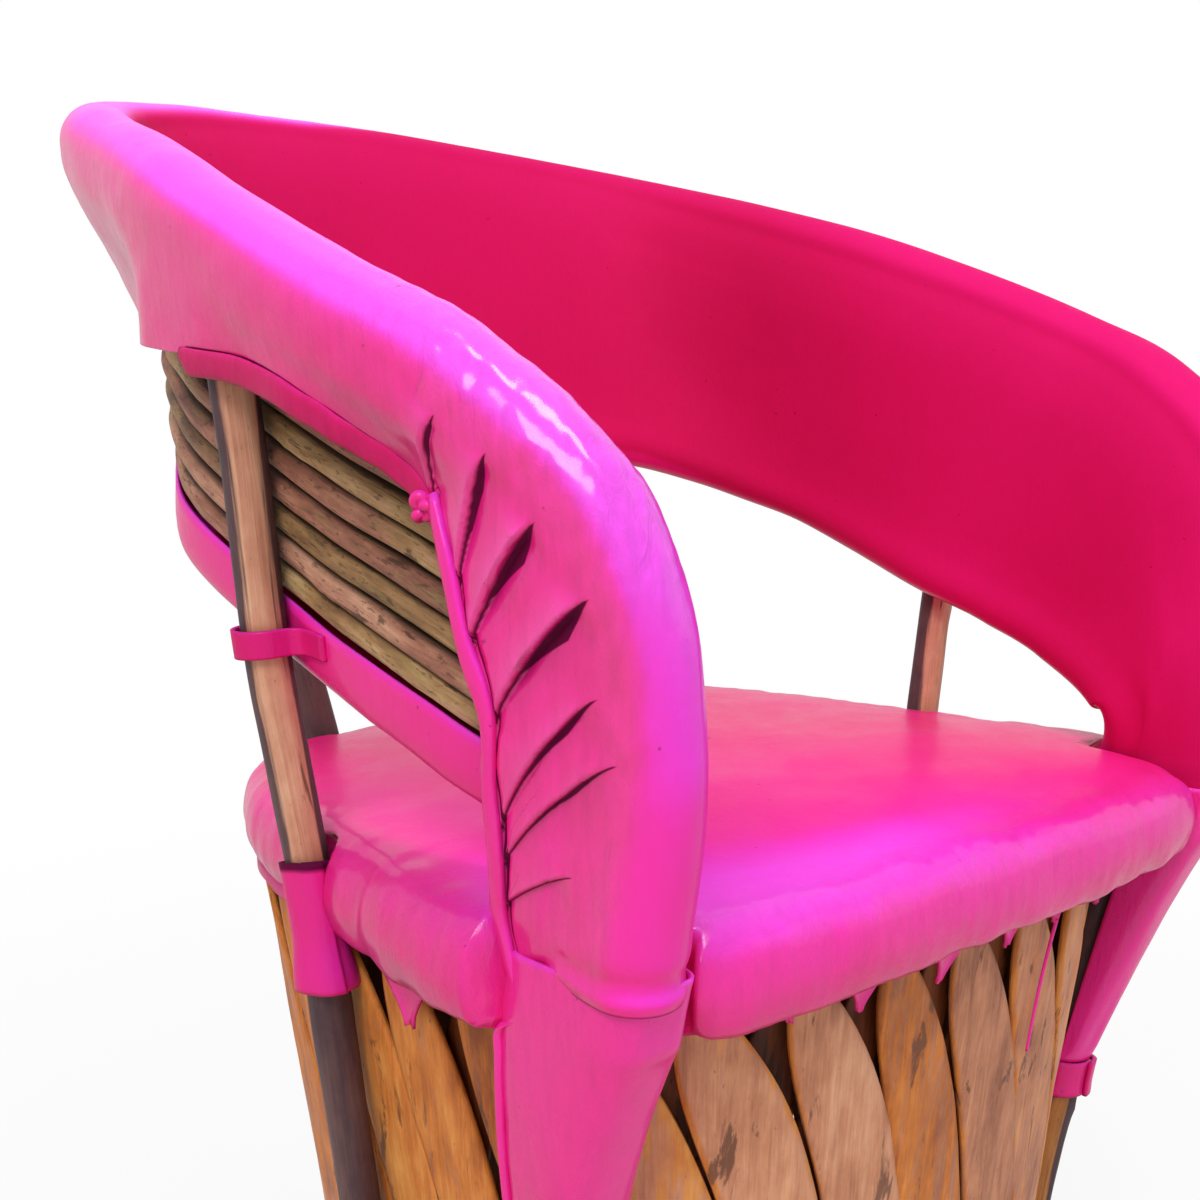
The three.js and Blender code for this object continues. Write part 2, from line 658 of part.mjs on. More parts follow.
// One leather cover: flap, padded roll, inner skin and lower wrap
const skinMiddle = skinOuter - skinThickness / 2;
function coverSpine(place, depth) {
  const column = stationValue(place, 'column');
  const rollRadius = fullRollRadius * stationValue(place, 'roll');
  const rollMiddle = (rollRadius + boreRadius) / 2;
  const rollWall = rollRadius - boreRadius;
  const reachOut = THREE.MathUtils.lerp(stationValue(place, 'reachOut'), 1, postBump(place));
  const arm = smoothArm(place);
  const flapEnd = flapLength * stationValue(place, 'flap');
  const tipLine = THREE.MathUtils.lerp(flapLine * reachOut, columnFlapLine, arm);
  const tipWall = THREE.MathUtils.lerp(flapThickness, columnFlapThickness, arm);
  const upperWall = THREE.MathUtils.lerp(2 * flapThickness, columnFlapThickness, arm);
  const besideRoll = rollRadius - flapThickness;
  const upperLine = THREE.MathUtils.lerp(besideRoll, Math.min(besideRoll, columnFlapLine), arm);
  const spine = [
    [tipLine, flapEnd, tipWall],
    [THREE.MathUtils.lerp(upperLine, tipLine, 0.55), (railRadius + flapEnd) / 2, (upperWall + tipWall) / 2],
    [upperLine, railRadius, upperWall],
  ];
  const arcSteps = 6;
  for (let step = 0; step <= arcSteps; step++) {
    const turn = Math.PI * step / arcSteps;
    spine.push([rollMiddle * Math.cos(turn), -rollMiddle * Math.sin(turn), rollWall]);
  }
  const innerLine = THREE.MathUtils.lerp(skinMiddle, columnSkinLine, column);
  const innerWall = THREE.MathUtils.lerp(skinThickness, columnSkinThickness, column);
  spine.push([(innerLine - rollMiddle) / 2, railRadius, (rollWall + innerWall) / 2]);
  spine.push([innerLine, Math.min(depth / 2, 3 * railRadius), innerWall]);
  const loop = lowRailRadius + curveSlack + wrapThickness / 2;
  const back = [
    [skinMiddle, depth - wrapRise, skinThickness],
    [lowRailLine - loop, depth, wrapThickness],
    [lowRailLine - loop * 0.71, depth + loop * 0.71, wrapThickness],
    [lowRailLine, depth + loop, wrapThickness],
    [lowRailLine + loop * 0.71, depth + loop * 0.71, wrapThickness],
    [wrapLine, depth, wrapThickness],
    [wrapLine, depth - wrapRise, wrapThickness],
  ];
  const front = [
    [columnSkinLine, depth - wrapRise, columnSkinThickness],
    [columnSkinLine, depth - loop, columnSkinThickness],
    [columnSkinLine * 0.8, depth - hemTurn * 0.3, flapThickness],
    [skinMiddle * 0.5, depth + hemTurn * 0.6, flapThickness],
    [skinMiddle * 0.2, depth + hemTurn * 0.9, flapThickness],
    [0, depth + hemTurn, flapThickness],
    [columnFlapLine * 0.4, depth + hemTurn, flapThickness],
  ];
  back.forEach((point, index) => {
    spine.push(point.map((value, axis) => THREE.MathUtils.lerp(value, front[index][axis], column)));
  });
  return spine;
}

// 1 where the flap lies over a side or back post, 0 where it lies on the sticks.
function postBump(place) {
  const fromEnd = Math.min(place, 1 - place);
  const bumps = [sideTopShare, backTopShare].map((share) => {
    return 1 - THREE.MathUtils.smoothstep(Math.abs(fromEnd - share), bumpNearShare, bumpFarShare);
  });
  return Math.max(...bumps);
}

// 1 in the arm columns, 0 along the back, with a short turn between them.
function smoothArm(place) {
  const fromEnd = Math.min(place, 1 - place) * (stations.length - 1);
  const share = THREE.MathUtils.clamp((4 - fromEnd) / 1.2, 0, 1);
  return share * share * (3 - 2 * share);
}

const coverPlaces = [];
for (let step = 0; step <= coverSteps; step++) {
  coverPlaces.push(step / coverSteps);
}
const coverRings = coverPlaces.map((place) => {
  const frame = backFrame(place);
  const outline = ribbonOutline(coverSpine(place, frame.depth));
  return outline.map((point) => backPoint(frame, point.x, point.y));
});
let coverSolid = toSolid(loft(coverRings));
const postRooms = [
  [frontPostPoints, frontPostRadius + clearance / 2],
  [sidePostPoints, postRadius + clearance / 2],
  [backPostPoints, postRadius + clearance / 2],
];
for (const [points, radius] of postRooms) {
  for (const { side } of sides) {
    const path = points.map((point) => mirror(point, side));
    coverSolid = coverSolid.subtract(toSolid(bar(path, radius, postSides, 11)));
  }
}
addPiece('back_leather', toGeometry(coverSolid), leather);

// Seat cushion: crowned top, rounded edge, drawn-in sides and a skirt over the slats
const cushionSteps = 44;
const skirtStandoff = 13;
function cushionGeometry() {
  const slack = 2 * curveSlack;
  const bulge = 6;
  const edge = 34;
  const rim = 3;
  const hollow = deckTop + clearance;
  const drumRing = (offset, height) => (angle) => {
    const place = drumPoint(angle, hemHeight, offset);
    place.z = height;
    return place;
  };
  const seatRing = (inset, height) => (angle) => {
    const flat = offsetOutline(angle, seatHalfWidth, seatHalfDepth, seatPower, -inset, seatTaper);
    return new THREE.Vector3(flat.x, flat.y, height);
  };
  const shrunk = (share, height) => (angle) => {
    const flat = squareRound(angle, seatHalfWidth, seatHalfDepth, seatPower, seatTaper);
    return new THREE.Vector3(flat.x * share, flat.y * share, height);
  };
  const ringMakers = [
    shrunk(0.1, hollow),
    drumRing(slack, hollow),
    drumRing(slack, hemHeight),
    drumRing(skirtStandoff - bulge, hemHeight - rim * 0.2),
    seatRing(bulge, hemHeight + rim),
    seatRing(clearance, hemHeight + seatThickness * 0.28),
    seatRing(0, hemHeight + seatThickness * 0.5),
    seatRing(edge * 0.12, hemHeight + seatThickness * 0.76),
    seatRing(edge * 0.45, hemHeight + seatThickness * 0.94),
    seatRing(edge, seatHeight),
    shrunk(0.62, seatHeight + seatCrown * 0.55),
    shrunk(0.3, seatHeight + seatCrown * 0.9),
    shrunk(0.06, seatHeight + seatCrown),
  ];
  const rings = ringMakers.map((maker) => {
    const ring = [];
    for (let step = 0; step < cushionSteps; step++) {
      ring.push(maker(2 * Math.PI * step / cushionSteps));
    }
    return ring;
  });
  return loft(rings);
}

// Room in the cushion for a post along its path
function postNotch(points, radius) {
  return toSolid(bar(points, radius, 12, 10));
}
let cushionSolid = toSolid(cushionGeometry());
const notchSlack = 1;
const columnSetback = 22;
const sleeveOuter = postRadius + 2 * clearance + 2 * flapThickness;
const notchRadius = sleeveOuter + notchSlack;
for (const { side } of sides) {
  const sidePath = sidePostPoints.map((point) => mirror(point, side));
  const backPath = backPostPoints.map((point) => mirror(point, side));
  const frontPath = frontPostPoints.map((point) => mirror(point, side));
  const sideNotch = postNotch(sidePath, notchRadius);
  const backNotch = postNotch(backPath, postRadius + notchSlack);
  const frontNotch = postNotch(frontPath, frontPostRadius + notchSlack);
  cushionSolid = cushionSolid.subtract(sideNotch).subtract(backNotch).subtract(frontNotch);
  const columnIn = stationShares[0].rail[0] * armHalfSpan + skinMiddle - skinThickness - 2 * curveSlack;
  const columnBack = columnSetback - lowFrontReach;
  const block = new THREE.BoxGeometry(armHalfSpan, armHalfSpan, armHalfSpan);
  block.translate(side * (columnIn + armHalfSpan / 2), columnBack - armHalfSpan / 2, seatHeight);
  cushionSolid = cushionSolid.subtract(toSolid(block));
}
addPiece('seat_cushion', toGeometry(cushionSolid), cushionLeather);

// Strips that lie on the cover's outer face, at the flap's free edge
function edgeStrip(fromShare, toShare, width, thickness) {
  const rings = [];
  const lift = 7 * clearance;
  coverPlaces.forEach((place) => {
    if (place < fromShare || place > toShare) {
      return;
    }
    const frame = backFrame(place);
    const outline = ribbonOutline(coverSpine(place, frame.depth));
    const [edge, inward] = outline;
    const run = inward.clone().sub(edge).normalize();
    const out = new THREE.Vector2(run.y, -run.x);
    if (out.x < 0) {
      out.negate();
    }
    const corner = (along, above) => {
      const flat = edge.clone().addScaledVector(run, along).addScaledVector(out, above);
      return backPoint(frame, flat.x, flat.y);
    };
    rings.push([
      corner(0, lift), corner(width, lift),
      corner(width, lift + thickness), corner(0, lift + thickness),
    ]);
  });
  return rings;
}
for (const { word, side } of sides) {
  const rings = edgeStrip(0, seamTopShare, seamWidth, seamThickness);
  const mirrored = rings.map((ring) => ring.map((point) => mirror(point, side)));
  addPiece(`arm_seam_${word}`, loft(mirrored), strapLeather);
}

// Sheaths that run down the front posts, and the collars below them
const collarTop = collarFoot + collarHeight;
const sheathSteps = 6;
function postFrameAt(curve, height) {
  let low = 0;
  let high = 1;
  for (let round = 0; round < 30; round++) {
    const middle = (low + high) / 2;
    if (curve.getPoint(middle).z < height) {
      low = middle;
    } else {
      high = middle;
    }
  }
  return { centre: curve.getPoint(low), tangent: curve.getTangent(low) };
}

function sheathSection(share) {
  const radius = frontPostRadius + clearance + sheathThickness / 2;
  const size = (top, power) => THREE.MathUtils.lerp(top, radius, share ** power);
  const outward = size(sheathOutward, 4);
  const inward = size(sheathInward, 1);
  const forward = size(sheathForward, 1);
  const rearward = size(sheathRearward, 1.5);
  const squareness = THREE.MathUtils.lerp(4, 2, share);
  const turns = [120, 135, 155, 180, 205, 225, 245, 270, 295, 315, 340];
  return turns.map((turn) => {
    const angle = THREE.MathUtils.degToRad(turn);
    const across = squareRound(angle, 1, 1, squareness);
    const x = across.x * (across.x < 0 ? outward : inward);
    const y = across.y * (across.y < 0 ? forward : rearward);
    return [x, y, sheathThickness];
  });
}
for (const { word, side } of sides) {
  const rings = [];
  for (let step = 0; step <= sheathSteps; step++) {
    const share = step / sheathSteps;
    const height = THREE.MathUtils.lerp(armFoot - sheathDrop, collarTop + clearance, share);
    const { centre } = postFrameAt(frontPostCurve, height);
    const outline = ribbonOutline(sheathSection(share));
    rings.push(outline.map((point) => {
      return mirror(new THREE.Vector3(centre.x + point.x, centre.y + point.y, height), side);
    }));
  }
  addPiece(`arm_sheath_${word}`, loft(rings), leather);
}

// Strip of leather rolled round a post. It starts on the outer side, and its end laps over.
function sleeveOnPost(curve, bore, foot, height, wall, turns) {
  const count = 20;
  const rise = wall + clearance;
  return [foot, foot + height / 2, foot + height].map((level) => {
    const { centre, tangent } = postFrameAt(curve, level);
    const lean = new THREE.Vector2(tangent.x, tangent.y).normalize();
    const stretch = 1 / tangent.z - 1;
    const spine = [];
    for (let step = 0; step <= count; step++) {
      const turned = turns * step / count;
      const angle = 2 * Math.PI * (turned + 0.42);
      const lap = THREE.MathUtils.smoothstep(turned, 0.84, 1);
      const radius = bore + wall / 2 + rise * lap;
      spine.push([radius * Math.cos(angle), radius * Math.sin(angle), wall]);
    }
    return ribbonOutline(spine).map((point) => {
      const flat = new THREE.Vector2(point.x, point.y);
      flat.addScaledVector(lean, flat.dot(lean) * stretch);
      return new THREE.Vector3(centre.x + flat.x, centre.y + flat.y, level);
    });
  });
}
const collarTurns = 0.82;
const sleeveTurns = 1.12;
const sidePostCurve = new THREE.CatmullRomCurve3(sidePostPoints, false, 'centripetal');
for (const { word, side } of sides) {
  const mirrored = (rings) => rings.map((ring) => ring.map((point) => mirror(point, side)));
  const collarBore = frontPostRadius + 2 * clearance;
  const collar = sleeveOnPost(frontPostCurve, collarBore, collarFoot, collarHeight, flapThickness, collarTurns);
  addPiece(`front_collar_${word}`, loft(mirrored(collar)), strapLeather);
  const sleeveBore = postRadius + 2 * clearance;
  const sleeve = sleeveOnPost(sidePostCurve, sleeveBore, sleeveFoot, sleeveHeight, sleeveThickness, sleeveTurns);
  addPiece(`post_sleeve_${word}`, loft(mirrored(sleeve)), strapLeather);
}

// Strap along the flap's edge on each arm, over the side post's top
for (const { word, side } of sides) {
  const rings = [];
  coverPlaces.forEach((place) => {
    if (place < strapFromShare || place > strapToShare) {
      return;
    }
    const frame = backFrame(place);
    const [line, tipDeep] = coverSpine(place, frame.depth)[0];
    const top = tipDeep + 2 * clearance;
    const half = strapThickness / 2;
    const ring = [
      [line - half, top], [line + half, top],
      [line + half, top + upperStrapWidth], [line - half, top + upperStrapWidth],
    ];
    rings.push(ring.map(([across, deep]) => mirror(backPoint(frame, across, deep), side)));
  });
  addPiece(`upper_strap_${word}`, loft(rings), strapLeather);
}

// Strap that holds the lower edge to each side post, with a wing to either side
const strapWing = 17;
const strapRise = 12;
function lowerStrapRings() {
  const frame = backFrame(sideLowShare);
  const along = lowCurve.getTangent(sideLowShare);
  const half = strapThickness / 2;
  const radius = postRadius + curveSlack + clearance + half;
  const wingLine = half + 3 * clearance - postRadius;
  const spine = [
    [-radius - strapWing, wingLine, strapThickness],
    [-radius - strapWing * 0.3, wingLine, strapThickness],
    [-radius - half, wingLine * 0.6, strapThickness],
  ];
  const arcSteps = 8;
  for (let step = 0; step <= arcSteps; step++) {
    const turn = Math.PI * (1 - step / arcSteps);
    spine.push([radius * Math.cos(turn), radius * Math.sin(turn), strapThickness]);
  }
  spine.push([radius + half, wingLine * 0.6, strapThickness]);
  spine.push([radius + strapWing * 0.3, wingLine, strapThickness]);
  spine.push([radius + strapWing, wingLine, strapThickness]);
  const outline = ribbonOutline(spine);
  return [strapRise, strapRise - strapWidth].map((above) => {
    const level = backPoint(frame, railInset, frame.depth - above);
    const { centre, tangent } = postFrameAt(sidePostCurve, level.z);
    const across = along.clone().addScaledVector(tangent, -along.dot(tangent)).normalize();
    const outward = frame.outAtLow.clone();
    outward.addScaledVector(tangent, -outward.dot(tangent));
    outward.addScaledVector(across, -outward.dot(across)).normalize();
    return outline.map((point) => {
      return centre.clone().addScaledVector(across, point.x).addScaledVector(outward, point.y);
    });
  });
}
for (const { word, side } of sides) {
  const rings = lowerStrapRings().map((ring) => ring.map((point) => mirror(point, side)));
  addPiece(`lower_strap_${word}`, loft(rings), strapLeather);
}

chair.updateMatrixWorld(true);
const extent = new THREE.Box3().setFromObject(chair);
const middle = extent.getCenter(new THREE.Vector3());
chair.position.set(-middle.x, -middle.y, -extent.min.z);

export default chair;
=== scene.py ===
import math
import random

import bpy
import numpy as np
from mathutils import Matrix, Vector


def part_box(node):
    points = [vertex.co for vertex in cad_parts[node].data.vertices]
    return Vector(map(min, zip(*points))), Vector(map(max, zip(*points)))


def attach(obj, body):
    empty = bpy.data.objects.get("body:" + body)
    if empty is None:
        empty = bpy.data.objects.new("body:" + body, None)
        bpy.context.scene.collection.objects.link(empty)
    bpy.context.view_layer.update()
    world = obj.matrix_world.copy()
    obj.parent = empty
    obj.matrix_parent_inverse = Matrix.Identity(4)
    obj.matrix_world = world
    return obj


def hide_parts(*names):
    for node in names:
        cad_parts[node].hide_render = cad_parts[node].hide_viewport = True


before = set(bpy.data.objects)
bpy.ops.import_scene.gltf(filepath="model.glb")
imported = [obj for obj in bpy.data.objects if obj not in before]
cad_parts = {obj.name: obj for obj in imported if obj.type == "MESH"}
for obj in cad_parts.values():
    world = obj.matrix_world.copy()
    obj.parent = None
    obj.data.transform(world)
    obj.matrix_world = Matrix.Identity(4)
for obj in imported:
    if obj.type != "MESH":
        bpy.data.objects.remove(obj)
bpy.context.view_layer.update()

hoopLow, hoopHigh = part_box("floor_hoop")
drumAxisY = (hoopLow.y + hoopHigh.y) / 2  # the drum's axis, in metres


def toMetres(points):
    # millimetres about the drum's axis to metres in the row frame
    moved = np.asarray(points, float) / 1000
    return moved + np.array([0, drumAxisY, 0])


# Camera, light and floor

view = {
    "place": (-620.7, -649.6, 660.9),
    "turn": (76.78, 0, -42.83),
    "lens": 43.38,
    "shift": (-0.0533, 0.1317),
}
cameraData = bpy.data.cameras.new("camera")
camera = bpy.data.objects.new("camera", cameraData)
bpy.context.collection.objects.link(camera)
camera.location = toMetres(view["place"])
camera.rotation_euler = [math.radians(angle) for angle in view["turn"]]
cameraData.sensor_width = 36
cameraData.lens = view["lens"]
cameraData.shift_x, cameraData.shift_y = view["shift"]
cameraData.clip_start = 0.02
bpy.context.scene.camera = camera
bpy.context.scene.view_settings.view_transform = "Standard"


class Flow:
    # one output of a node, so that shader maths reads as plain expressions
    def __init__(self, tree, socket):
        self.tree = tree
        self.socket = socket

    def maths(self, operation, first, second):
        node = self.tree.nodes.new("ShaderNodeMath")
        node.operation = operation
        for place, value in enumerate((first, second)):
            if isinstance(value, Flow):
                self.tree.links.new(value.socket, node.inputs[place])
            else:
                node.inputs[place].default_value = value
        return Flow(self.tree, node.outputs[0])

    def __add__(self, other):
        return self.maths("ADD", self, other)

    def __sub__(self, other):
        return self.maths("SUBTRACT", self, other)

    def __rsub__(self, other):
        return self.maths("SUBTRACT", other, self)

    def __mul__(self, other):
        return self.maths("MULTIPLY", self, other)


class Surface:
    # a material and its nodes
    def __init__(self, name):
        self.material = bpy.data.materials.new(name)
        self.material.use_nodes = True
        self.tree = self.material.node_tree
        self.shader = self.tree.nodes["Principled BSDF"]

    def node(self, kind, settings, inputs, output=0):
        made = self.tree.nodes.new(kind)
        for key, value in settings.items():
            if key == "stops":
                ramp = made.color_ramp
                ramp.elements.remove(ramp.elements[-1])
                ramp.elements[0].position, ramp.elements[0].color = value[0][0], (*value[0][1], 1)
                for place, colour in value[1:]:
                    ramp.elements.new(place).color = (*colour, 1)
            else:
                setattr(made, key, value)
        for key, value in inputs.items():
            self.feed(made.inputs[key], value)
        return Flow(self.tree, made.outputs[output])

    def feed(self, socket, value):
        if isinstance(value, Flow):
            self.tree.links.new(value.socket, socket)
        elif hasattr(value, "__len__") and len(value) == 3 and len(socket.default_value) == 4:
            socket.default_value = (*value, 1)
        else:
            socket.default_value = value

    def set(self, **values):
        for key, value in values.items():
            self.feed(self.shader.inputs[key.replace("_", " ")], value)

    def attribute(self, name, output="Fac"):
        return self.node("ShaderNodeAttribute", {"attribute_name": name}, {}, output)

    def noise(self, vector, scale, detail=4, rough=0.5, warp=0):
        return self.node("ShaderNodeTexNoise", {}, {
            "Vector": vector, "Scale": scale, "Detail": detail, "Roughness": rough, "Distortion": warp,
        })

    def stretch(self, vector, scale):
        return self.node("ShaderNodeMapping", {}, {"Vector": vector, "Scale": scale})

    def ramp(self, value, stops):
        return self.node("ShaderNodeValToRGB", {"stops": stops}, {"Fac": value})

    def mix(self, share, first, second):
        # a colour mix; the Mix node keeps its colours in these sockets
        return self.node("ShaderNodeMix", {"data_type": "RGBA"}, {0: share, 6: first, 7: second}, 2)

    def between(self, value, low, high, least=0, most=1):
        # value from low to high, turned to least to most and clamped there
        return self.node("ShaderNodeMapRange", {}, {
            "Value": value, "From Min": low, "From Max": high, "To Min": least, "To Max": most,
        })

    def bump(self, layers):
        # each layer is (height, strength, distance in metres)
        normal = None
        for height, strength, distance in layers:
            inputs = {"Height": height, "Strength": strength, "Distance": distance}
            if normal is not None:
                inputs["Normal"] = normal
            normal = self.node("ShaderNodeBump", {}, inputs)
        self.feed(self.shader.inputs["Normal"], normal)


def addLight(name, size, power, place, target):
    data = bpy.data.lights.new(name, "AREA")
    data.shape = "RECTANGLE"
    data.size, data.size_y = size
    data.energy = power
    lamp = bpy.data.objects.new(name, data)
    bpy.context.collection.objects.link(lamp)
    lamp.location = place
    aim = Vector(target) - Vector(place)
    lamp.rotation_euler = aim.to_track_quat("-Z", "Y").to_euler()


studio = {
    "key": ((1.3, 1.0), 33, (-1.75, -1.15, 2.3), (-0.2, -0.1, 0.5)),
    "glint": ((0.3, 1.0), 12, (-0.25, -0.7, 2.3), (-0.26, -0.28, 0.6)),
    "fill": ((2.4, 2.0), 8, (2.2, -1.8, 1.5), (0, 0, 0.4)),
    "top": ((2.2, 2.2), 6, (0.2, 0.3, 2.9), (0, 0, 0.4)),
    "world": 0.4,
    "floor": (0.92, 0.92, 0.92), "floorReach": 40, "floorFade": (0.4, 1.6), "floorGlow": 0.88,
}
for lampName in ("key", "glint", "fill", "top"):
    addLight(lampName, *studio[lampName])


def backgroundRay(tree):
    # 1 where the camera, a reflection or a view through glass sees the background
    rays = tree.nodes.new("ShaderNodeLightPath").outputs
    seen = Flow(tree, rays["Is Camera Ray"])
    for name in ("Is Glossy Ray", "Is Transmission Ray"):
        seen = seen.maths("MAXIMUM", seen, Flow(tree, rays[name]))
    return seen


def mixShaders(tree, share, plain, seen, outputName):
    # the plain shader lights the object, and the seen one shows by share
    mix = tree.nodes.new("ShaderNodeMixShader")
    for place, socket in enumerate((share.socket, plain.outputs[0], seen.outputs[0])):
        tree.links.new(socket, mix.inputs[place])
    tree.links.new(mix.outputs[0], tree.nodes[outputName].inputs["Surface"])


world = bpy.data.worlds.new("world")
bpy.context.scene.world = world
world.use_nodes = True
worldTree = world.node_tree
softLight, backdrop = worldTree.nodes["Background"], worldTree.nodes.new("ShaderNodeBackground")
for shader, strength in ((softLight, studio["world"]), (backdrop, 1)):
    shader.inputs["Color"].default_value = (1, 1, 1, 1)
    shader.inputs["Strength"].default_value = strength
mixShaders(worldTree, backgroundRay(worldTree), softLight, backdrop, "World Output")

# The floor fades to plain white away from the chair, and keeps the chair's shadow near it
floorMesh = bpy.data.meshes.new("floor")
floorReach = studio["floorReach"]
floorCorners = [(x * floorReach, y * floorReach, 0) for x, y in ((-1, -1), (1, -1), (1, 1), (-1, 1))]
floorMesh.from_pydata(floorCorners, [], [(0, 1, 2, 3)])
floor = bpy.data.objects.new("floor", floorMesh)
bpy.context.collection.objects.link(floor)
floorSurface = Surface("floor")
floorSurface.set(Base_Color=studio["floor"], Roughness=0.9)
floorTree = floorSurface.tree
floorGlow = floorTree.nodes.new("ShaderNodeEmission")
floorPlace = floorSurface.node("ShaderNodeTexCoord", {}, {}, "Object")
floorAway = floorSurface.node("ShaderNodeVectorMath", {"operation": "LENGTH"}, {0: floorPlace}, "Value")
fadeFrom, fadeTo = studio["floorFade"]
floorWhite = floorSurface.between(floorAway, fadeFrom, fadeTo, studio["floorGlow"])
floorShare = backgroundRay(floorTree) * floorWhite
mixShaders(floorTree, floorShare, floorSurface.shader, floorGlow, "Material Output")
floorMesh.materials.append(floorSurface.material)
print("stage ready")

# Shared shape of the chair, in millimetres

chair = {
    "seatHeight": 450, "seatThickness": 56, "seatCrown": 12, "seatHalf": (262.5, 249.4),
    "seatPower": 4.25, "seatTaper": 0.174, "drumTop": (243, 224), "drumFoot": (207, 190), "drumPower": 3.2,
    "armDrop": 42, "backRise": 399, "lowBackRise": 175, "armHalfSpan": 291, "backReach": 372,
    "armReach": 239, "lowHalfSpan": 266, "lowBackReach": 290, "lowFrontReach": 168,
    "railRadius": 14, "lowRailRadius": 9, "postRadius": 12, "railInset": 4,
}
hemHeight = chair["seatHeight"] - chair["seatThickness"]
armFoot = chair["seatHeight"] - chair["armDrop"]

# One row for each station from the right arm's foot to the middle of the back: the rail's and the
# lower edge's places as shares of the sizes above, the flap's length, how far it stands out,
# 1 where the leather is the arm's thick column, and the roll's size
stationNames = ("rail", "low", "flap", "reachOut", "column", "roll")
stationRows = [dict(zip(stationNames, entry)) for entry in (
    ((0.84, -0.94, 0.04), (0.88, -0.92, 0), 0.45, 1, 1, 0.78),
    ((0.84, -0.95, 0.1), (0.9, -0.96, 0.15), 0.55, 1, 1, 0.85),
    ((0.83, -0.98, 0.28), (0.93, -1.02, 0.3), 0.82, 1, 0, 0.81),
    ((0.88, -0.93, 0.48), (1.01, -0.66, 0.46), 0.67, 1, 0, 0.85),
    ((0.95, -0.66, 0.605), (1.03, -0.34, 0.545), 0.34, 0.4, 0, 0.89),
    ((1, -0.36, 0.68), (1.03, -0.01, 0.625), 0.29, 0.85, 0, 0.84),
    ((0.955, 0.25, 0.83), (1.01, 0.5, 0.875), 0.6, -0.2, 0, 0.85),
    ((0.715, 0.815, 0.96), (0.695, 0.885, 1.03), 1, -0.25, 0, 0.86),
    ((0, 1.02, 1.005), (0, 1.02, 0.97), 1, 0.3, 0, 0.93),
)]
rows = [(row, -1) for row in stationRows] + [(row, 1) for row in stationRows[-2::-1]]
lastStation = len(rows) - 1


def edgePoints(key, halfSpan, frontReach, backReach, rise):
    # one edge of the back, station by station, in millimetres
    points = []
    for row, side in rows:
        wide, deep, high = row[key]
        reach = chair[frontReach] if deep < 0 else chair[backReach]
        height = armFoot + high * (chair["armDrop"] + chair[rise])
        points.append((side * wide * chair[halfSpan], deep * reach, height))
    return np.array(points, float)


railPoints = edgePoints("rail", "armHalfSpan", "armReach", "backReach", "backRise")
lowPoints = edgePoints("low", "lowHalfSpan", "lowFrontReach", "lowBackReach", "lowBackRise")


def along(points, place):
    # smooth curve through points; points may be a stack of curves, points first
    points = np.asarray(points, float)
    place = np.clip(np.atleast_1d(np.asarray(place, float)), 0, 1)
    ends = np.concatenate([[2 * points[0] - points[1]], points, [2 * points[-1] - points[-2]]])
    scaled = place * (len(points) - 1)
    index = np.minimum(scaled.astype(int), len(points) - 2)
    part = (scaled - index).reshape(-1, *([1] * (points.ndim - 1)))
    a, b, c, d = ends[index], ends[index + 1], ends[index + 2], ends[index + 3]

    def gap(p, q):
        return np.sqrt(np.maximum(np.linalg.norm(q - p, axis=-1, keepdims=True), 1e-4))

    first, middle, last = gap(a, b), gap(b, c), gap(c, d)
    leave = ((b - a) / first - (c - a) / (first + middle) + (c - b) / middle) * middle
    arrive = ((c - b) / middle - (d - b) / (middle + last) + (d - c) / last) * middle
    return (b + leave * part + (-3 * b + 3 * c - 2 * leave - arrive) * part ** 2
            + (2 * b - 2 * c + leave + arrive) * part ** 3)


def unit(vectors):
    return vectors / np.maximum(np.linalg.norm(vectors, axis=-1, keepdims=True), 1e-9)


def flatten(vectors, normal):
    return vectors - np.sum(vectors * normal, axis=-1, keepdims=True) * normal


def ease(value, low, high):
    share = np.clip((value - low) / (high - low), 0, 1)
    return share * share * (3 - 2 * share)


def mixed(first, second, share):
    return first + (second - first) * share


def stationValue(place, key):
    values = np.array([row[key] for row, _ in rows], float)
    scaled = np.clip(place, 0, 1) * lastStation
    index = np.minimum(scaled.astype(int), lastStation - 1)
    part = scaled - index
    part = part * part * (3 - 2 * part)
    return mixed(values[index], values[index + 1], part)


def slopeOf(points, place):
    nudge = 0.0001
    ahead = along(points, np.clip(place + nudge, 0, 1))
    behind = along(points, np.clip(place - nudge, 0, 1))
    return unit(ahead - behind)


edgeZone = 54  # how far from an edge of the back that edge's own directions hold, in millimetres


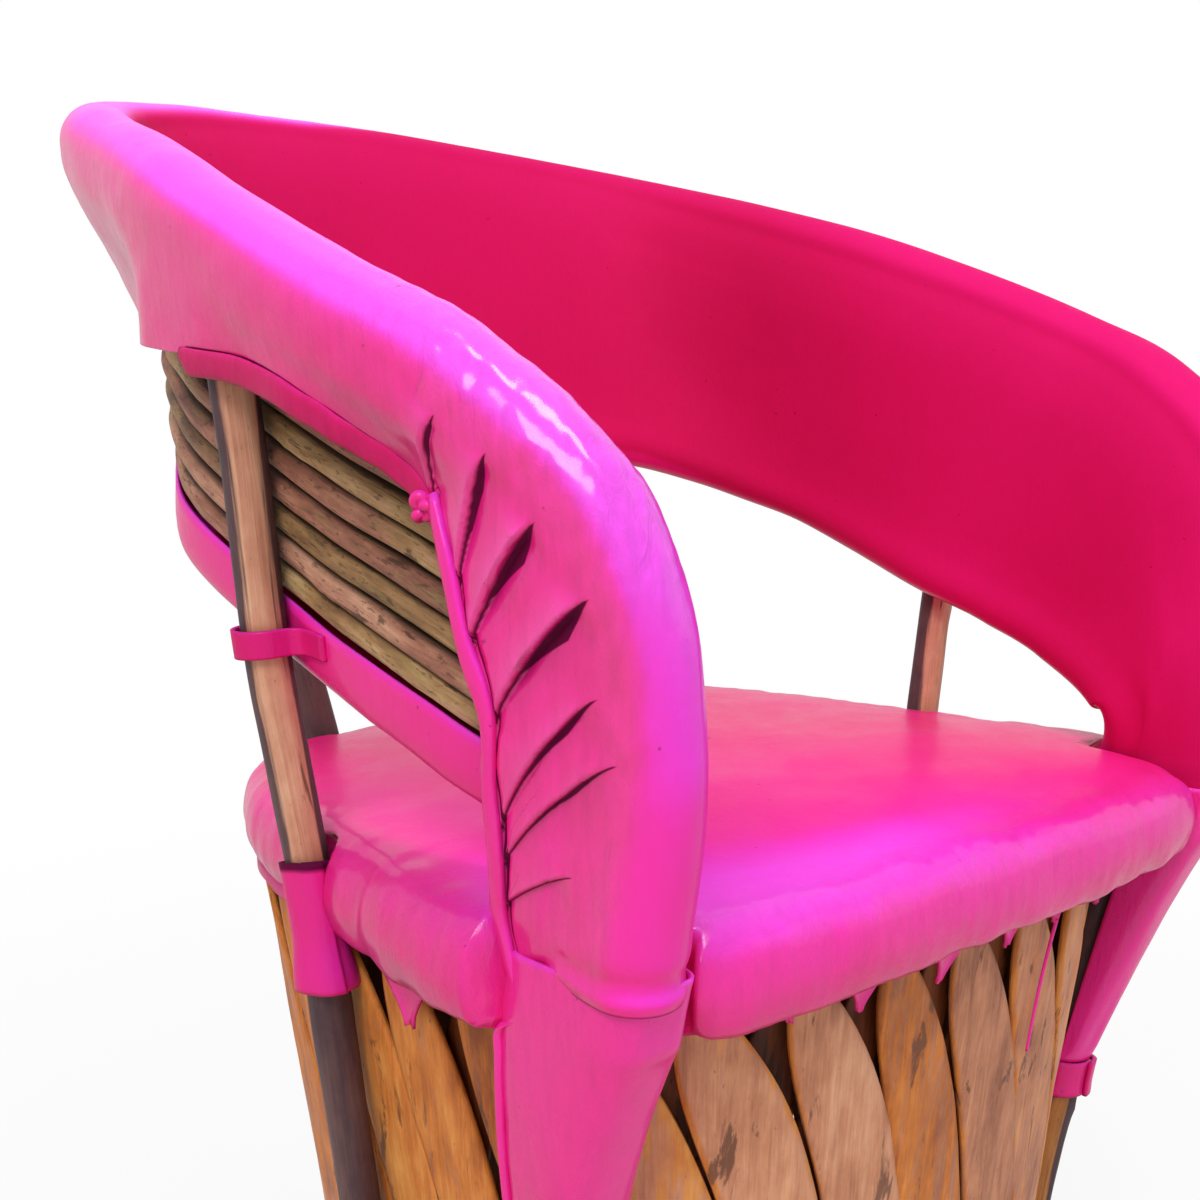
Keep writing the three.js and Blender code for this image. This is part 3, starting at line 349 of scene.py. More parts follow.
class BackFrames:
    # the back's own directions at each place from the right arm's foot to the left one's
    def __init__(self, place):
        self.place = np.atleast_1d(np.asarray(place, float))
        self.origin = along(railPoints, self.place)
        self.low = along(lowPoints, self.place)
        slope, lowSlope = slopeOf(railPoints, self.place), slopeOf(lowPoints, self.place)
        self.lowSlope = lowSlope
        self.depth = np.linalg.norm(self.low - self.origin, axis=-1)
        self.down = unit(self.low - self.origin)
        out = unit(np.cross(self.down, slope))
        axis = self.origin * np.array([0, 0, 1])
        flip = np.where(np.sum(out * (self.origin - axis), axis=-1, keepdims=True) < 0, -1, 1)
        self.out = out * flip
        self.downAtRail = unit(flatten(self.down, slope))
        self.outAtLow = unit(flatten(self.out, lowSlope))
        self.downAtLow = unit(flatten(flatten(self.down, lowSlope), self.outAtLow))

    def point(self, across, deep):
        # across and deep: one value for each place, or a row of values for each
        across, deep = np.asarray(across, float), np.asarray(deep, float)
        if across.ndim == 1:
            return self.point(across[:, None], deep[:, None])[:, 0]
        depth = self.depth[:, None]
        zone = np.minimum(edgeZone, depth / 2)
        nearTop = 1 - ease(deep, zone * 0.5, zone)
        nearLow = ease(deep, depth - zone, depth - zone * 0.5)
        across, deep = across[..., None], deep[..., None]

        def placed(origin, out, down, drop):
            return origin[:, None] + out[:, None] * across + down[:, None] * drop

        between = placed(self.origin, self.out, self.down, deep)
        top = placed(self.origin, self.out, self.downAtRail, deep)
        foot = placed(self.low, self.outAtLow, self.downAtLow, deep - depth[..., None])
        return mixed(mixed(between, top, nearTop[..., None]), foot, nearLow[..., None])


def squareRound(angle, half, power, taper=0):
    cosine, sine = np.cos(angle), np.sin(angle)
    stretch = (np.abs(cosine) ** power + np.abs(sine) ** power) ** (-1 / power)
    wide = half[0] * stretch * cosine * (1 - taper * stretch * sine)
    return np.stack([wide, half[1] * stretch * sine], -1)


def offsetRound(angle, half, power, offset, taper=0):
    nudge = 0.01
    ahead, behind = (squareRound(angle + step, half, power, taper) for step in (nudge, -nudge))
    run = unit(ahead - behind)
    here = squareRound(angle, half, power, taper)
    offset = np.asarray(offset, float)[..., None]
    return here + np.stack([run[..., 1], -run[..., 0]], -1) * offset


def drumPoint(angle, height, offset):
    angle, height, offset = np.broadcast_arrays(*[np.asarray(v, float) for v in (angle, height, offset)])
    share = height / hemHeight
    half = [mixed(foot, top, share) for foot, top in zip(chair["drumFoot"], chair["drumTop"])]
    flat = offsetRound(angle, half, chair["drumPower"], offset)
    return np.concatenate([flat, height[..., None]], -1)


walkAngles = np.linspace(0, 2 * np.pi, 1441)
walkPoints = drumPoint(walkAngles, hemHeight / 2, 0)
walkLengths = np.concatenate([[0], np.cumsum(np.linalg.norm(np.diff(walkPoints, axis=0), axis=-1))])
drumPerimeter = walkLengths[-1]


def angleAtShare(share):
    return np.interp((share % 1) * drumPerimeter, walkLengths, walkAngles)


def waves(points, size, seed, octaves=3):
    # smooth random field over points, about -1 to 1; size is the longest wave
    source = np.random.default_rng(seed)
    total, weight = 0, 1
    for octave in range(octaves):
        for turn in range(6):
            direction = unit(source.normal(size=3))
            length = size / 2 ** octave * source.uniform(0.7, 1.4)
            phase = points @ direction * 2 * np.pi / length + source.uniform(0, 6.3)
            total = total + weight * np.sin(phase) / 2.4
        weight *= 0.5
    return total / 1.9


def gridNormals(points, wrapped=False):
    if wrapped:
        acrossRun = np.roll(points, -1, 1) - np.roll(points, 1, 1)
    else:
        acrossRun = np.gradient(points, axis=1)
    return unit(np.cross(np.gradient(points, axis=0), acrossRun))


def makeObject(name, points, faces, material, attributes):
    mesh = bpy.data.meshes.new(name)
    mesh.from_pydata(toMetres(points).tolist(), [], faces)
    for key, values in attributes.items():
        values = np.asarray(values, np.float32)
        kind = "FLOAT" if values.ndim == 1 else "FLOAT_VECTOR"
        layer = mesh.attributes.new(key, kind, "POINT")
        layer.data.foreach_set("value" if kind == "FLOAT" else "vector", values.ravel())
    mesh.polygons.foreach_set("use_smooth", [True] * len(mesh.polygons))
    mesh.materials.append(material)
    mesh.validate()
    made = bpy.data.objects.new(name, mesh)
    bpy.context.collection.objects.link(made)
    turnOut(mesh)
    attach(made, "root")
    return made


def turnOut(mesh):
    # faces point out when the volume they close is positive
    mesh.calc_loop_triangles()
    places = np.zeros(len(mesh.vertices) * 3, np.float32)
    mesh.vertices.foreach_get("co", places)
    places = places.reshape(-1, 3)
    corners = np.zeros(len(mesh.loop_triangles) * 3, np.int32)
    mesh.loop_triangles.foreach_get("vertices", corners)
    a, b, c = (places[corners.reshape(-1, 3)[:, k]] for k in range(3))
    if np.sum(a * np.cross(b, c)) < 0:
        mesh.flip_normals()


def gridFaces(rowCount, columnCount, wrapped=False, start=0):
    faces = []
    for row in range(rowCount - 1):
        for column in range(columnCount if wrapped else columnCount - 1):
            ahead = (column + 1) % columnCount
            here = start + row * columnCount
            there = here + columnCount
            faces.append((here + column, here + ahead, there + ahead, there + column))
    return faces


def closedTube(rings):
    # rings: rows of points that go round; both ends are closed with a middle point
    rowCount, columnCount = rings.shape[:2]
    faces = gridFaces(rowCount, columnCount, True)
    points = np.concatenate([rings.reshape(-1, 3), [rings[0].mean(0)], [rings[-1].mean(0)]])
    first, last = len(points) - 2, len(points) - 1
    for column in range(columnCount):
        ahead = (column + 1) % columnCount
        faces.append((first, ahead, column))
        faces.append((last, (rowCount - 1) * columnCount + column, (rowCount - 1) * columnCount + ahead))
    return points, faces


def closedShell(outer, inner):
    # a sheet with thickness: outer and inner grids of the same size, joined at their edges
    rowCount, columnCount = outer.shape[:2]
    count = rowCount * columnCount
    faces = gridFaces(rowCount, columnCount)
    faces += [face[::-1] for face in gridFaces(rowCount, columnCount, start=count)]
    border = [(0, column) for column in range(columnCount)]
    border += [(row, columnCount - 1) for row in range(1, rowCount)]
    border += [(rowCount - 1, column) for column in range(columnCount - 2, -1, -1)]
    border += [(row, 0) for row in range(rowCount - 2, 0, -1)]
    places = [row * columnCount + column for row, column in border]
    for here, ahead in zip(places, places[1:] + places[:1]):
        faces.append((ahead, here, here + count, ahead + count))
    return np.concatenate([outer.reshape(-1, 3), inner.reshape(-1, 3)]), faces


def mirrorX(points, side):
    return points * np.array([-side, 1, 1])


sides = (("right", -1), ("left", 1))

# Materials

# The leather's colours: its tone follows the normal's turn toward the "light" direction, painted light and
# shade, and the "outer" ramp runs from painted shade up to a violet painted sheen
leatherLook = {
    "light": (-0.05, -0.45, 0.89),
    "outer": [(0.0, (0.4, 0.004, 0.08)), (0.2, (0.66, 0.008, 0.15)), (0.38, (0.85, 0.012, 0.21)),
              (0.55, (0.94, 0.024, 0.31)), (0.74, (0.95, 0.026, 0.42)), (0.88, (0.95, 0.04, 0.68)),
              (1.0, (0.95, 0.07, 0.86))],
    # Painted highlight on the pleats' ridges and painted shade in their valleys
    "ridge": (0.97, 0.13, 0.5), "valley": (0.5, 0.004, 0.13),
    # Darker crimson of the inner faces, painted shade
    "inner": [(0.0, (0.38, 0.002, 0.035)), (0.5, (0.62, 0.003, 0.095)), (1.0, (0.78, 0.006, 0.17))],
    # Colour of painted shade in creases and under the seat, also used for small dark flecks
    "crease": (0.085, 0.001, 0.026),
    "rough": (0.32, 0.48),
    "coat": 0.16,
}


def leatherMaterial(name, look):
    # Fields of the mesh: "glow" lifts or lowers the tone, painted light and shade on the cover and seat and
    # a darker tone set for some small pieces; "inner" turns it to a darker crimson, the painted shade of
    # inner faces; "fold" paints a highlight where it is 1 on a ridge and painted shade where it is -1 in a
    # valley; "crease" darkens, painted shade in creases and under the seat; "lineAcross" and "lineHalf" are
    # the distance from a painted shade line and its half width in millimetres, and "wrinkle" deepens the
    # bump and adds coat
    made = Surface(name)
    where = made.node("ShaderNodeTexCoord", {}, {}, "Object")
    normal = made.node("ShaderNodeNewGeometry", {}, {}, "Normal")
    inputs = {0: normal, 1: look["light"]}
    lit = made.node("ShaderNodeVectorMath", {"operation": "DOT_PRODUCT"}, inputs, "Value")
    crease, wrinkle = made.attribute("crease"), made.attribute("wrinkle")
    cloud = made.noise(where, 8, 3)
    patch = made.noise(where, 42, 4, 0.6)
    # Painted light and shade from the normal's turn toward the light direction, with the painted light field
    # and random tone
    tone = lit * 0.5 + 0.5 + made.attribute("glow") + (cloud - 0.5) * 0.22 + (patch - 0.5) * 0.08
    shade = made.between(tone, 0, 1)
    outer, inner = made.ramp(shade, look["outer"]), made.ramp(shade, look["inner"])
    colour = made.mix(made.attribute("inner"), outer, inner)
    fold = made.attribute("fold")
    # Painted highlight on the pleats' ridges, painted shade in their valleys
    colour = made.mix(made.between(fold, 0.05, 1) * 0.5, colour, look["ridge"])
    colour = made.mix(made.between(0 - fold, 0.05, 1) * 0.75, colour, look["valley"])
    # Painted shade along the dark lines
    gapAcross = made.node("ShaderNodeMath", {"operation": "ABSOLUTE"}, {0: made.attribute("lineAcross")})
    line = made.between(made.attribute("lineHalf") - gapAcross, -0.3, 0.3)
    # Painted shade: the dark lines and the creases
    paintedShade = line.maths("MAXIMUM", line, made.between(crease, 0.05, 0.8))
    colour = made.mix(paintedShade * 0.95, colour, look["crease"])
    # Small dark flecks in the leather, in the same dark colour
    specks = made.between(made.noise(where, 210, 2, 0.4), 0.76, 0.8)
    colour = made.mix(specks * 0.45, colour, look["crease"])
    pores, cells = (
        made.node("ShaderNodeTexVoronoi", {"feature": feature}, {"Vector": where, "Scale": scale})
        for feature, scale in (("SMOOTH_F1", 620), ("DISTANCE_TO_EDGE", 260)))
    rub = made.noise(where, 160, 5, 0.65, 0.4)
    cracks = made.noise(made.stretch(where, (1, 1, 0.4)), 120, 6, 0.75, 1.6)
    folds = made.noise(made.stretch(where, (1, 1, 0.5)), 34, 3, 0.5, 0.9)
    rough = made.between(patch * 0.6 + rub * 0.4, 0.3, 0.7, *look["rough"])
    dull = made.between(paintedShade + made.attribute("inner"), 0, 0.9)
    made.set(Base_Color=colour, Roughness=rough + dull * 0.26, Specular_IOR_Level=0.08,
             Coat_Weight=(wrinkle * 0.55 + look["coat"]) * (1 - dull), Coat_Roughness=0.16, Coat_IOR=1.65)
    made.bump([
        (made.noise(where, 24, 3), 0.1, 0.004),
        (folds * wrinkle, 0.42, 0.005),
        (cracks * wrinkle, 0.75, 0.0024),
        (rub, 0.1, 0.0006),
        (cells, 0.1, 0.0003),
        (pores, 0.08, 0.0002),
    ])
    return made.material


def woodMaterial(name, ramp, other, fibre=1, rough=(0.5, 0.75), moss=None, scars=0.66, specks=0.7, run=1):
    # Fields of the mesh: "grain" holds millimetres, two across the piece and one along it, "tint"
    # shifts each piece, "other" turns to the second ramp, and "stain" darkens: the real dark of knots, and
    # painted shade in the gaps between the sticks and on the slats' tips under the hem
    made = Surface(name)
    grain = made.attribute("grain", "Vector")
    tint = made.attribute("tint")

    def streaks(across, lengthways, *noise):
        return made.noise(made.stretch(grain, (across, across, lengthways)), 1, *noise)

    fibres = streaks(0.55, 0.012 * run, 6, 0.62, 0.5)
    bands = streaks(0.12, 0.006 * run, 4, 0.55, 0.8)
    fine = streaks(2.4, 0.05 * run, 4, 0.6)
    cloud, blotch = streaks(0.03, 0.01, 3), streaks(0.06, 0.03, 4, 0.6)
    spread = fibres * 0.4 + bands * 0.45 + fine * 0.15
    spread = spread + (tint - 0.5) * 0.34 + (cloud - 0.5) * 0.4 + (blotch - 0.5) * 0.5
    shade = made.between(spread, 0.25, 0.78)
    edge = made.between(made.attribute("other") + (bands - 0.5) * 1.2 + (fibres - 0.5) * 0.5, 0.4, 0.6)
    colour = made.mix(edge, made.ramp(shade, ramp), made.ramp(shade, other))
    dark = tuple(value * 0.32 for value in ramp[0][1])
    if moss is not None:
        spots = made.between(streaks(0.09, 0.02, 5, 0.7), 0.54, 0.7)
        colour = made.mix(spots * 0.6, colour, moss)
    flaws = made.between(streaks(0.07, 0.018, 5, 0.62, 0.6), scars, scars + 0.05)
    flecks = made.between(streaks(0.5, 0.16, 3, 0.5), specks, specks + 0.06)
    colour = made.mix(flaws * 0.75, colour, dark)
    colour = made.mix(flecks * 0.5, colour, dark)
    # The real dark of knots, and painted shade in the gaps between sticks and on the slats' tips under the
    # hem
    colour = made.mix(made.between(made.attribute("stain"), 0, 1), colour, dark)
    made.set(Base_Color=colour, Roughness=made.between(fibres, 0.3, 0.7, *rough), Specular_IOR_Level=0.35)
    made.bump([(bands, 0.3 * fibre, 0.0012), (fibres, 0.55 * fibre, 0.0009), (fine, 0.3 * fibre, 0.0004)])
    return made.material


def stops(*colours):
    return [(place / (len(colours) - 1), colour) for place, colour in enumerate(colours)]


barkShades = stops((0.028, 0.014, 0.018), (0.075, 0.034, 0.04), (0.17, 0.085, 0.075))
peeledShades = stops((0.24, 0.085, 0.045), (0.62, 0.28, 0.17), (0.86, 0.52, 0.33))
scarShades = stops((0.28, 0.09, 0.02), (0.5, 0.2, 0.05), (0.68, 0.36, 0.12))
pinkCedar = stops((0.3, 0.1, 0.05), (0.63, 0.26, 0.135), (0.86, 0.46, 0.27))
goldCedar = stops((0.3, 0.065, 0.008), (0.66, 0.2, 0.03), (0.88, 0.4, 0.1))
# Dark cedar for the inner slats, painted shade where they stand behind the outer slats under the seat
innerShadeCedar = stops((0.07, 0.015, 0.004), (0.19, 0.04, 0.01), (0.34, 0.1, 0.025))
oliveSticks = stops((0.1, 0.04, 0.018), (0.4, 0.22, 0.09), (0.76, 0.5, 0.25))
redSticks = stops((0.1, 0.03, 0.022), (0.4, 0.16, 0.1), (0.7, 0.38, 0.24))
hoopShades = stops((0.12, 0.055, 0.03), (0.27, 0.14, 0.075), (0.4, 0.24, 0.13))
reedShades = stops((0.3, 0.21, 0.1), (0.5, 0.39, 0.2), (0.66, 0.55, 0.33))

coverLeather = leatherMaterial("coverLeather", leatherLook)
seatLeather = leatherMaterial("seatLeather", {**leatherLook, "rough": (0.3, 0.44), "coat": 0.03})
edgeLeather = leatherMaterial("edgeLeather", {**leatherLook, "rough": (0.36, 0.52), "coat": 0.08})
outerCedar = woodMaterial("outerCedar", pinkCedar, goldCedar, 0.8, scars=0.6, run=2.2)
innerCedarShaded = woodMaterial("innerCedarShaded", innerShadeCedar, innerShadeCedar, 0.8, scars=0.6, run=2.2)
stickWood = woodMaterial("stickWood", oliveSticks, redSticks, 2.2, moss=(0.36, 0.28, 0.09), scars=0.6,
                         specks=0.6, run=4)
peeledWood = woodMaterial("peeledWood", peeledShades, barkShades, 1.0)
barkWood = woodMaterial("barkWood", barkShades, scarShades, 1.5, (0.5, 0.8))
hoopWood = woodMaterial("hoopWood", hoopShades, hoopShades)
reedWood = woodMaterial("reedWood", reedShades, reedShades)
print("materials ready")

# What every leather piece goes through

# Painted shade lines: the pleats' openings, beside the seam and over the upper straps
farFromShadeLine = (4.0, -4.0)  # a point away from all dark lines: its distance from one, and the half width
leatherFields = {
    "crease": 0, "wrinkle": 0.35, "glow": 0, "inner": 0, "fold": 0,
    "lineAcross": farFromShadeLine[0], "lineHalf": farFromShadeLine[1],
}


def leatherPiece(name, block, slot, replaced=(), material=edgeLeather, **fields):
    # each field is one number, or one for each point
    points, faces = block
    values = {key: np.broadcast_to(value, len(points)) for key, value in {**leatherFields, **fields}.items()}
    made = makeObject(name, points, faces, material, values)
    if replaced:
        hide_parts(*replaced)
    return made


# Leather cover of the back and arms

cover = {
    "rollRadius": 27, "bore": 16.2, "skin": 6, "wrap": 2.4, "flap": 3, "flapLength": 120,
    "columnFlap": (19.5, 9), "columnSkin": (-24.8, 4), "hemTurn": 3.5, "slack": 1.4, "skinSlack": 3.2,
    "clearance": 0.4, "stickRadius": 6.9, "wrapOverlap": 12, "bumpStations": (5.6, 7.28),
    "bump": (0.12, 0.55), "armSteps": 300, "backSteps": 170, "armLastStation": 4.6,
    "samples": (44, 40, 6, 5, 5, 5, 5, 5, 5, 8, 34, 5, 4, 4, 4, 4, 6, 4),
}
postRadius, railRadius, lowRailRadius = chair["postRadius"], chair["railRadius"], chair["lowRailRadius"]
postInner = chair["railInset"] - postRadius - cover["clearance"]
stickLine = postInner - cover["stickRadius"]
skinMiddle = stickLine - cover["stickRadius"] - cover["skinSlack"] - cover["skin"] / 2
lowRailLine = postInner - cover["wrap"] - cover["slack"] - lowRailRadius
flapLine = chair["railInset"] + postRadius + 2 * cover["slack"] + cover["flap"] / 2
wrapLine = postInner - cover["wrap"] / 2
wrapRise = lowRailRadius + cover["wrap"] + cover["clearance"] + cover["wrapOverlap"]


def armShare(place):
    # 1 on the arm fronts, 0 round the back
    fromEnd = np.minimum(place, 1 - place) * lastStation
    return 1 - ease(fromEnd, 2.8, 4)


def postBump(place):
    # 1 where the flap lies over a side or back post, 0 where it lies on the sticks
    fromEnd = np.minimum(place, 1 - place) * lastStation
    near, far = cover["bump"]
    return np.maximum(*[1 - ease(np.abs(fromEnd - station), near, far) for station in cover["bumpStations"]])


def coverSpine(frames):
    # middle line of the leather's section: across, deep and thickness, for each place
    place, depth = frames.place, frames.depth
    column, reachOut = stationValue(place, "column"), stationValue(place, "reachOut")
    arm = armShare(place)
    flapEnd = cover["flapLength"] * stationValue(place, "flap")
    reachOut = mixed(reachOut, 1, postBump(place))
    tipLine = mixed(flapLine * reachOut, cover["columnFlap"][0], arm)
    tipWall = mixed(cover["flap"], cover["columnFlap"][1], arm)
    upperWall = mixed(2 * cover["flap"], cover["columnFlap"][1], arm)
    rollRadius = cover["rollRadius"] * stationValue(place, "roll")
    backLine = rollRadius - cover["flap"]
    upperLine = mixed(backLine, np.minimum(cover["columnFlap"][0], backLine), arm)
    one = np.ones_like(place)
    spine = [
        (tipLine, flapEnd, tipWall),
        (mixed(upperLine, tipLine, 0.55), (railRadius + flapEnd) / 2, (upperWall + tipWall) / 2),
        (upperLine, railRadius * one, upperWall),
    ]
    rollMiddle = (rollRadius + cover["bore"]) / 2
    rollWall = rollRadius - cover["bore"]
    for step in range(7):
        turn = math.pi * step / 6
        spine.append((rollMiddle * math.cos(turn) * one, -rollMiddle * math.sin(turn) * one, rollWall * one))
    innerLine = mixed(skinMiddle, cover["columnSkin"][0], column)
    innerWall = mixed(cover["skin"], cover["columnSkin"][1], column)
    spine.append(((innerLine - rollMiddle) / 2, railRadius * one, (rollWall + innerWall) / 2))
    spine.append((innerLine, np.minimum(depth / 2, 3 * railRadius), innerWall))
    loop = lowRailRadius + cover["slack"] + cover["wrap"] / 2
    skinLine, skinWall = cover["columnSkin"]
    turnIn = cover["hemTurn"]
    wrap, flap, corner = cover["wrap"], cover["flap"], loop * 0.71
    pairs = [
        ((skinMiddle, -wrapRise, cover["skin"]), (skinLine, -wrapRise, skinWall)),
        ((lowRailLine - loop, 0, wrap), (skinLine, -loop, skinWall)),
        ((lowRailLine - corner, corner, wrap), (skinLine * 0.8, -turnIn * 0.3, flap)),
        ((lowRailLine, loop, wrap), (skinMiddle * 0.5, turnIn * 0.6, flap)),
        ((lowRailLine + corner, corner, wrap), (skinMiddle * 0.2, turnIn * 0.9, flap)),
        ((wrapLine, 0, wrap), (0, turnIn, flap)),
        ((wrapLine, -wrapRise, wrap), (cover["columnFlap"][0] * 0.4, turnIn, flap)),
    ]
    for back, front in pairs:
        values = [mixed(first, second, column) for first, second in zip(back, front)]
        spine.append((values[0], depth + values[1], values[2]))
    return np.stack([np.stack(np.broadcast_arrays(*entry), -1) for entry in spine])


def sampled(curves, samples):
    # curves sampled with a chosen number of steps in each span, and the steps counted in spans
    steps = np.concatenate([[0]] + [k + np.arange(1, count + 1) / count for k, count in enumerate(samples)])
    return along(curves, steps / (len(curves) - 1)), steps


def leftSide(line):
    # points half a thickness to the left of a line of (across, deep, thickness)
    run = unit(np.gradient(line[..., :2], axis=0))
    half = line[..., 2] / 2
    return line[..., 0] - run[..., 1] * half, line[..., 1] + run[..., 0] * half


armEnd = cover["armLastStation"] / lastStation
armPlaces = np.linspace(0, armEnd, cover["armSteps"], endpoint=False)
backPlaces = np.linspace(armEnd, 1 - armEnd, cover["backSteps"])
coverPlaces = np.concatenate([armPlaces, backPlaces, 1 - armPlaces[::-1]])
coverFrames = BackFrames(coverPlaces)
coverLine, coverSteps = sampled(coverSpine(coverFrames), cover["samples"])
acrossOut, deepOut = leftSide(coverLine)
coverOuter = coverFrames.point(acrossOut.T, deepOut.T)


def calmed(points, spread):
    # each column smoothed along the rows, with its ends kept
    reach = np.arange(-3 * spread, 3 * spread + 1)
    weights = np.exp(-(reach / spread) ** 2 / 2)
    before = 2 * points[:1] - points[1:3 * spread + 1][::-1]
    after = 2 * points[-1:] - points[-3 * spread - 1:-1][::-1]
    padded = np.concatenate([before, points, after])
    return sum(weight * padded[k:k + len(points)] for k, weight in enumerate(weights / weights.sum()))


# The sections crowd together low on the arms' outer faces, so the leather is smoothed there
fromEnd = (np.minimum(coverPlaces, 1 - coverPlaces) * lastStation)[:, None]
stepRow = np.broadcast_to(coverSteps, coverOuter.shape[:2])
calm = ease(fromEnd, 0.5, 1.0) * (1 - ease(fromEnd, 2.3, 2.9)) * (1 - ease(stepRow, 2.6, 3.8))
armRows = cover["armSteps"]
armSlices = (slice(0, armRows), slice(len(coverPlaces) - armRows, None))
for armSlice in armSlices:
    raw = coverOuter[armSlice]
    coverOuter[armSlice] = mixed(raw, calmed(raw, 24), calm[armSlice][..., None])
coverNormals = gridNormals(coverOuter)
middleRow = len(coverPlaces) // 2
if np.dot(coverNormals[middleRow, np.argmax(coverSteps >= 6)], (0, 0, 1)) < 0:
    coverNormals = -coverNormals

# Pleats gathered into the seam on the arms' outer faces, in millimetres: height of the pleat's foot
# on the seam, how far it runs forward, how far it rises, and how far it opens from 0 to 1
pleats = {
    "lines": [(631, 20, 31, 0.5), (592, 27, 56, 0.72), (570, 41, 53, 1), (540, 53, 55, 1),
              (490, 59, 66, 0.62), (470, 70, 60, 0.52), (452, 49, 27, 0.4)],
    "ridge": 4.0, "ridgeWidth": 10, "valley": 4.6, "valleyWidth": 9, "step": 0.9, "bend": 1.18,
    "shadeLine": 0.7, "shadeWedge": 6.5, "setback": 5, "steps": 40, "reach": 8,
}


def pleatRelief(points, tips):
    # height of the leather over its plain shape, with distance across and half width of its painted shade
    # lines, the shade in the pleats' openings
    relief = np.zeros(points.shape[:2])
    lineAcross, lineHalf = (np.full(points.shape[:2], value) for value in farFromShadeLine)
    order = np.argsort(tips[:, 2])
    flank = points[..., 1:]
    for foot, forward, rise, opened in pleats["lines"]:
        run = np.linspace(0, 1, pleats["steps"])
        start = np.interp(foot, tips[order, 2], tips[order, 1]) - pleats["setback"]
        curve = np.stack([start - forward * run ** pleats["bend"],
                          foot + rise * (1 - (1 - run) ** pleats["bend"])], -1)
        slope = unit(np.gradient(curve, axis=0))
        gaps = np.linalg.norm(flank[:, :, None] - curve, axis=-1)
        nearest = gaps.argmin(-1)
        offset = flank - curve[nearest]
        signed = slope[nearest, 0] * offset[..., 1] - slope[nearest, 1] * offset[..., 0]
        beyond = np.sum(slope[nearest] * offset, -1)
        past = np.where((nearest == 0) | (nearest == len(run) - 1), np.abs(beyond), 0)
        share = np.clip(run[nearest] + beyond / np.hypot(forward, rise), 0, 1)
        size = opened * mixed(0.45, 1, ease(share, 0, 0.5)) * (1 - ease(share, 0.8, 1))
        size = size * np.exp(-(past / 4) ** 2)
        above = np.exp(-np.maximum(-signed, 0) / pleats["ridgeWidth"])
        below = np.exp(-signed / pleats["valleyWidth"])
        under = ease(signed, -pleats["step"], pleats["step"])
        relief += size * mixed(pleats["ridge"] * above, -pleats["valley"] * np.minimum(below, 1), under)
        spread = np.clip((share - 0.36) / 0.36, 0, 1) * np.clip((1 - share) / 0.28, 0, 1)
        half = (pleats["shadeLine"] + pleats["shadeWedge"] * max(0, opened - 0.4) / 0.6 * spread) / 2
        better = half - 0.5 * past - np.abs(signed - half) > lineHalf - np.abs(lineAcross)
        better &= np.abs(signed) < pleats["reach"]
        lineAcross = np.where(better, signed - half, lineAcross)
        lineHalf = np.where(better, half - 0.5 * past, lineHalf)
    return relief, lineAcross, lineHalf


seam = {"setback": 4.6, "breadth": 9.4, "depth": 5.2, "lift": 1.0, "topPlace": 3.78, "line": 9.6}
tipDistance = np.linalg.norm(coverOuter - coverOuter[:, :1], axis=-1)
footDistance = np.linalg.norm(coverOuter - coverOuter[:1], axis=-1)
footDistance = np.minimum(footDistance, np.linalg.norm(coverOuter - coverOuter[-1:], axis=-1))
flank = 1 - ease(stepRow, 3.2, 4.4)
coverRelief = 0.9 * waves(coverOuter, 150, 3, 3) + 0.5 * flank * waves(coverOuter, 45, 8, 2)
pleatHeight = np.zeros(coverOuter.shape[:2])
lineAcross, lineHalf = (np.full(coverOuter.shape[:2], value) for value in farFromShadeLine)
for armSlice in armSlices:
    relief, across, half = pleatRelief(coverOuter[armSlice], coverOuter[armSlice, 0])
    pleatHeight[armSlice] = relief * flank[armSlice]
    lineAcross[armSlice] = across
    lineHalf[armSlice] = np.where(flank[armSlice] > 0.4, half, farFromShadeLine[1])
coverRelief += pleatHeight

# Seam shadow, painted as a dark line and dented, the folded lip at the arms' feet, the painted shade line
# over the upper straps
onSeam = (1 - ease(fromEnd, seam["topPlace"] - 0.05, seam["topPlace"] + 0.1)) * (stepRow < 3)
# The seam's painted shadow line widens into a gap near 480 mm high
gapWidth = 2.6 * np.exp(-((coverOuter[..., 2] - 480) / 26) ** 2)
seamShade = np.exp(-((tipDistance - seam["line"]) / 2) ** 2)
coverRelief -= 1.6 * onSeam * seamShade


def addLine(chosen, across, half):
    # painted shade line laid over the ones already there, where it is chosen
    better = chosen & (half - np.abs(across) > lineHalf - np.abs(lineAcross))
    better &= np.abs(across) < pleats["reach"]
    return np.where(better, across, lineAcross), np.where(better, half, lineHalf)


seamHalf = 0.5 + gapWidth / 2
lineAcross, lineHalf = addLine(onSeam > 0.5, tipDistance - seam["line"] - gapWidth / 2, seamHalf)
lip = np.exp(-((footDistance - 5) / 4) ** 2) * (stepRow < 9)
coverRelief += 1.7 * lip - 1.2 * np.exp(-((footDistance - 14) / 5) ** 2) * (stepRow < 9)
hemPlaces = ease(fromEnd, 3.75, 3.85) * (1 - ease(fromEnd, 5.46, 5.52))
lineAcross, lineHalf = addLine((hemPlaces > 0) & (stepRow < 2), tipDistance - 3.4, 0.6 * hemPlaces)
# The leather's edge at the arms' feet is darkened, painted shade where it turns under
coverFootShade = 0.5 * (1 - ease(footDistance, 0.4, 1.6)) * (stepRow < 9)

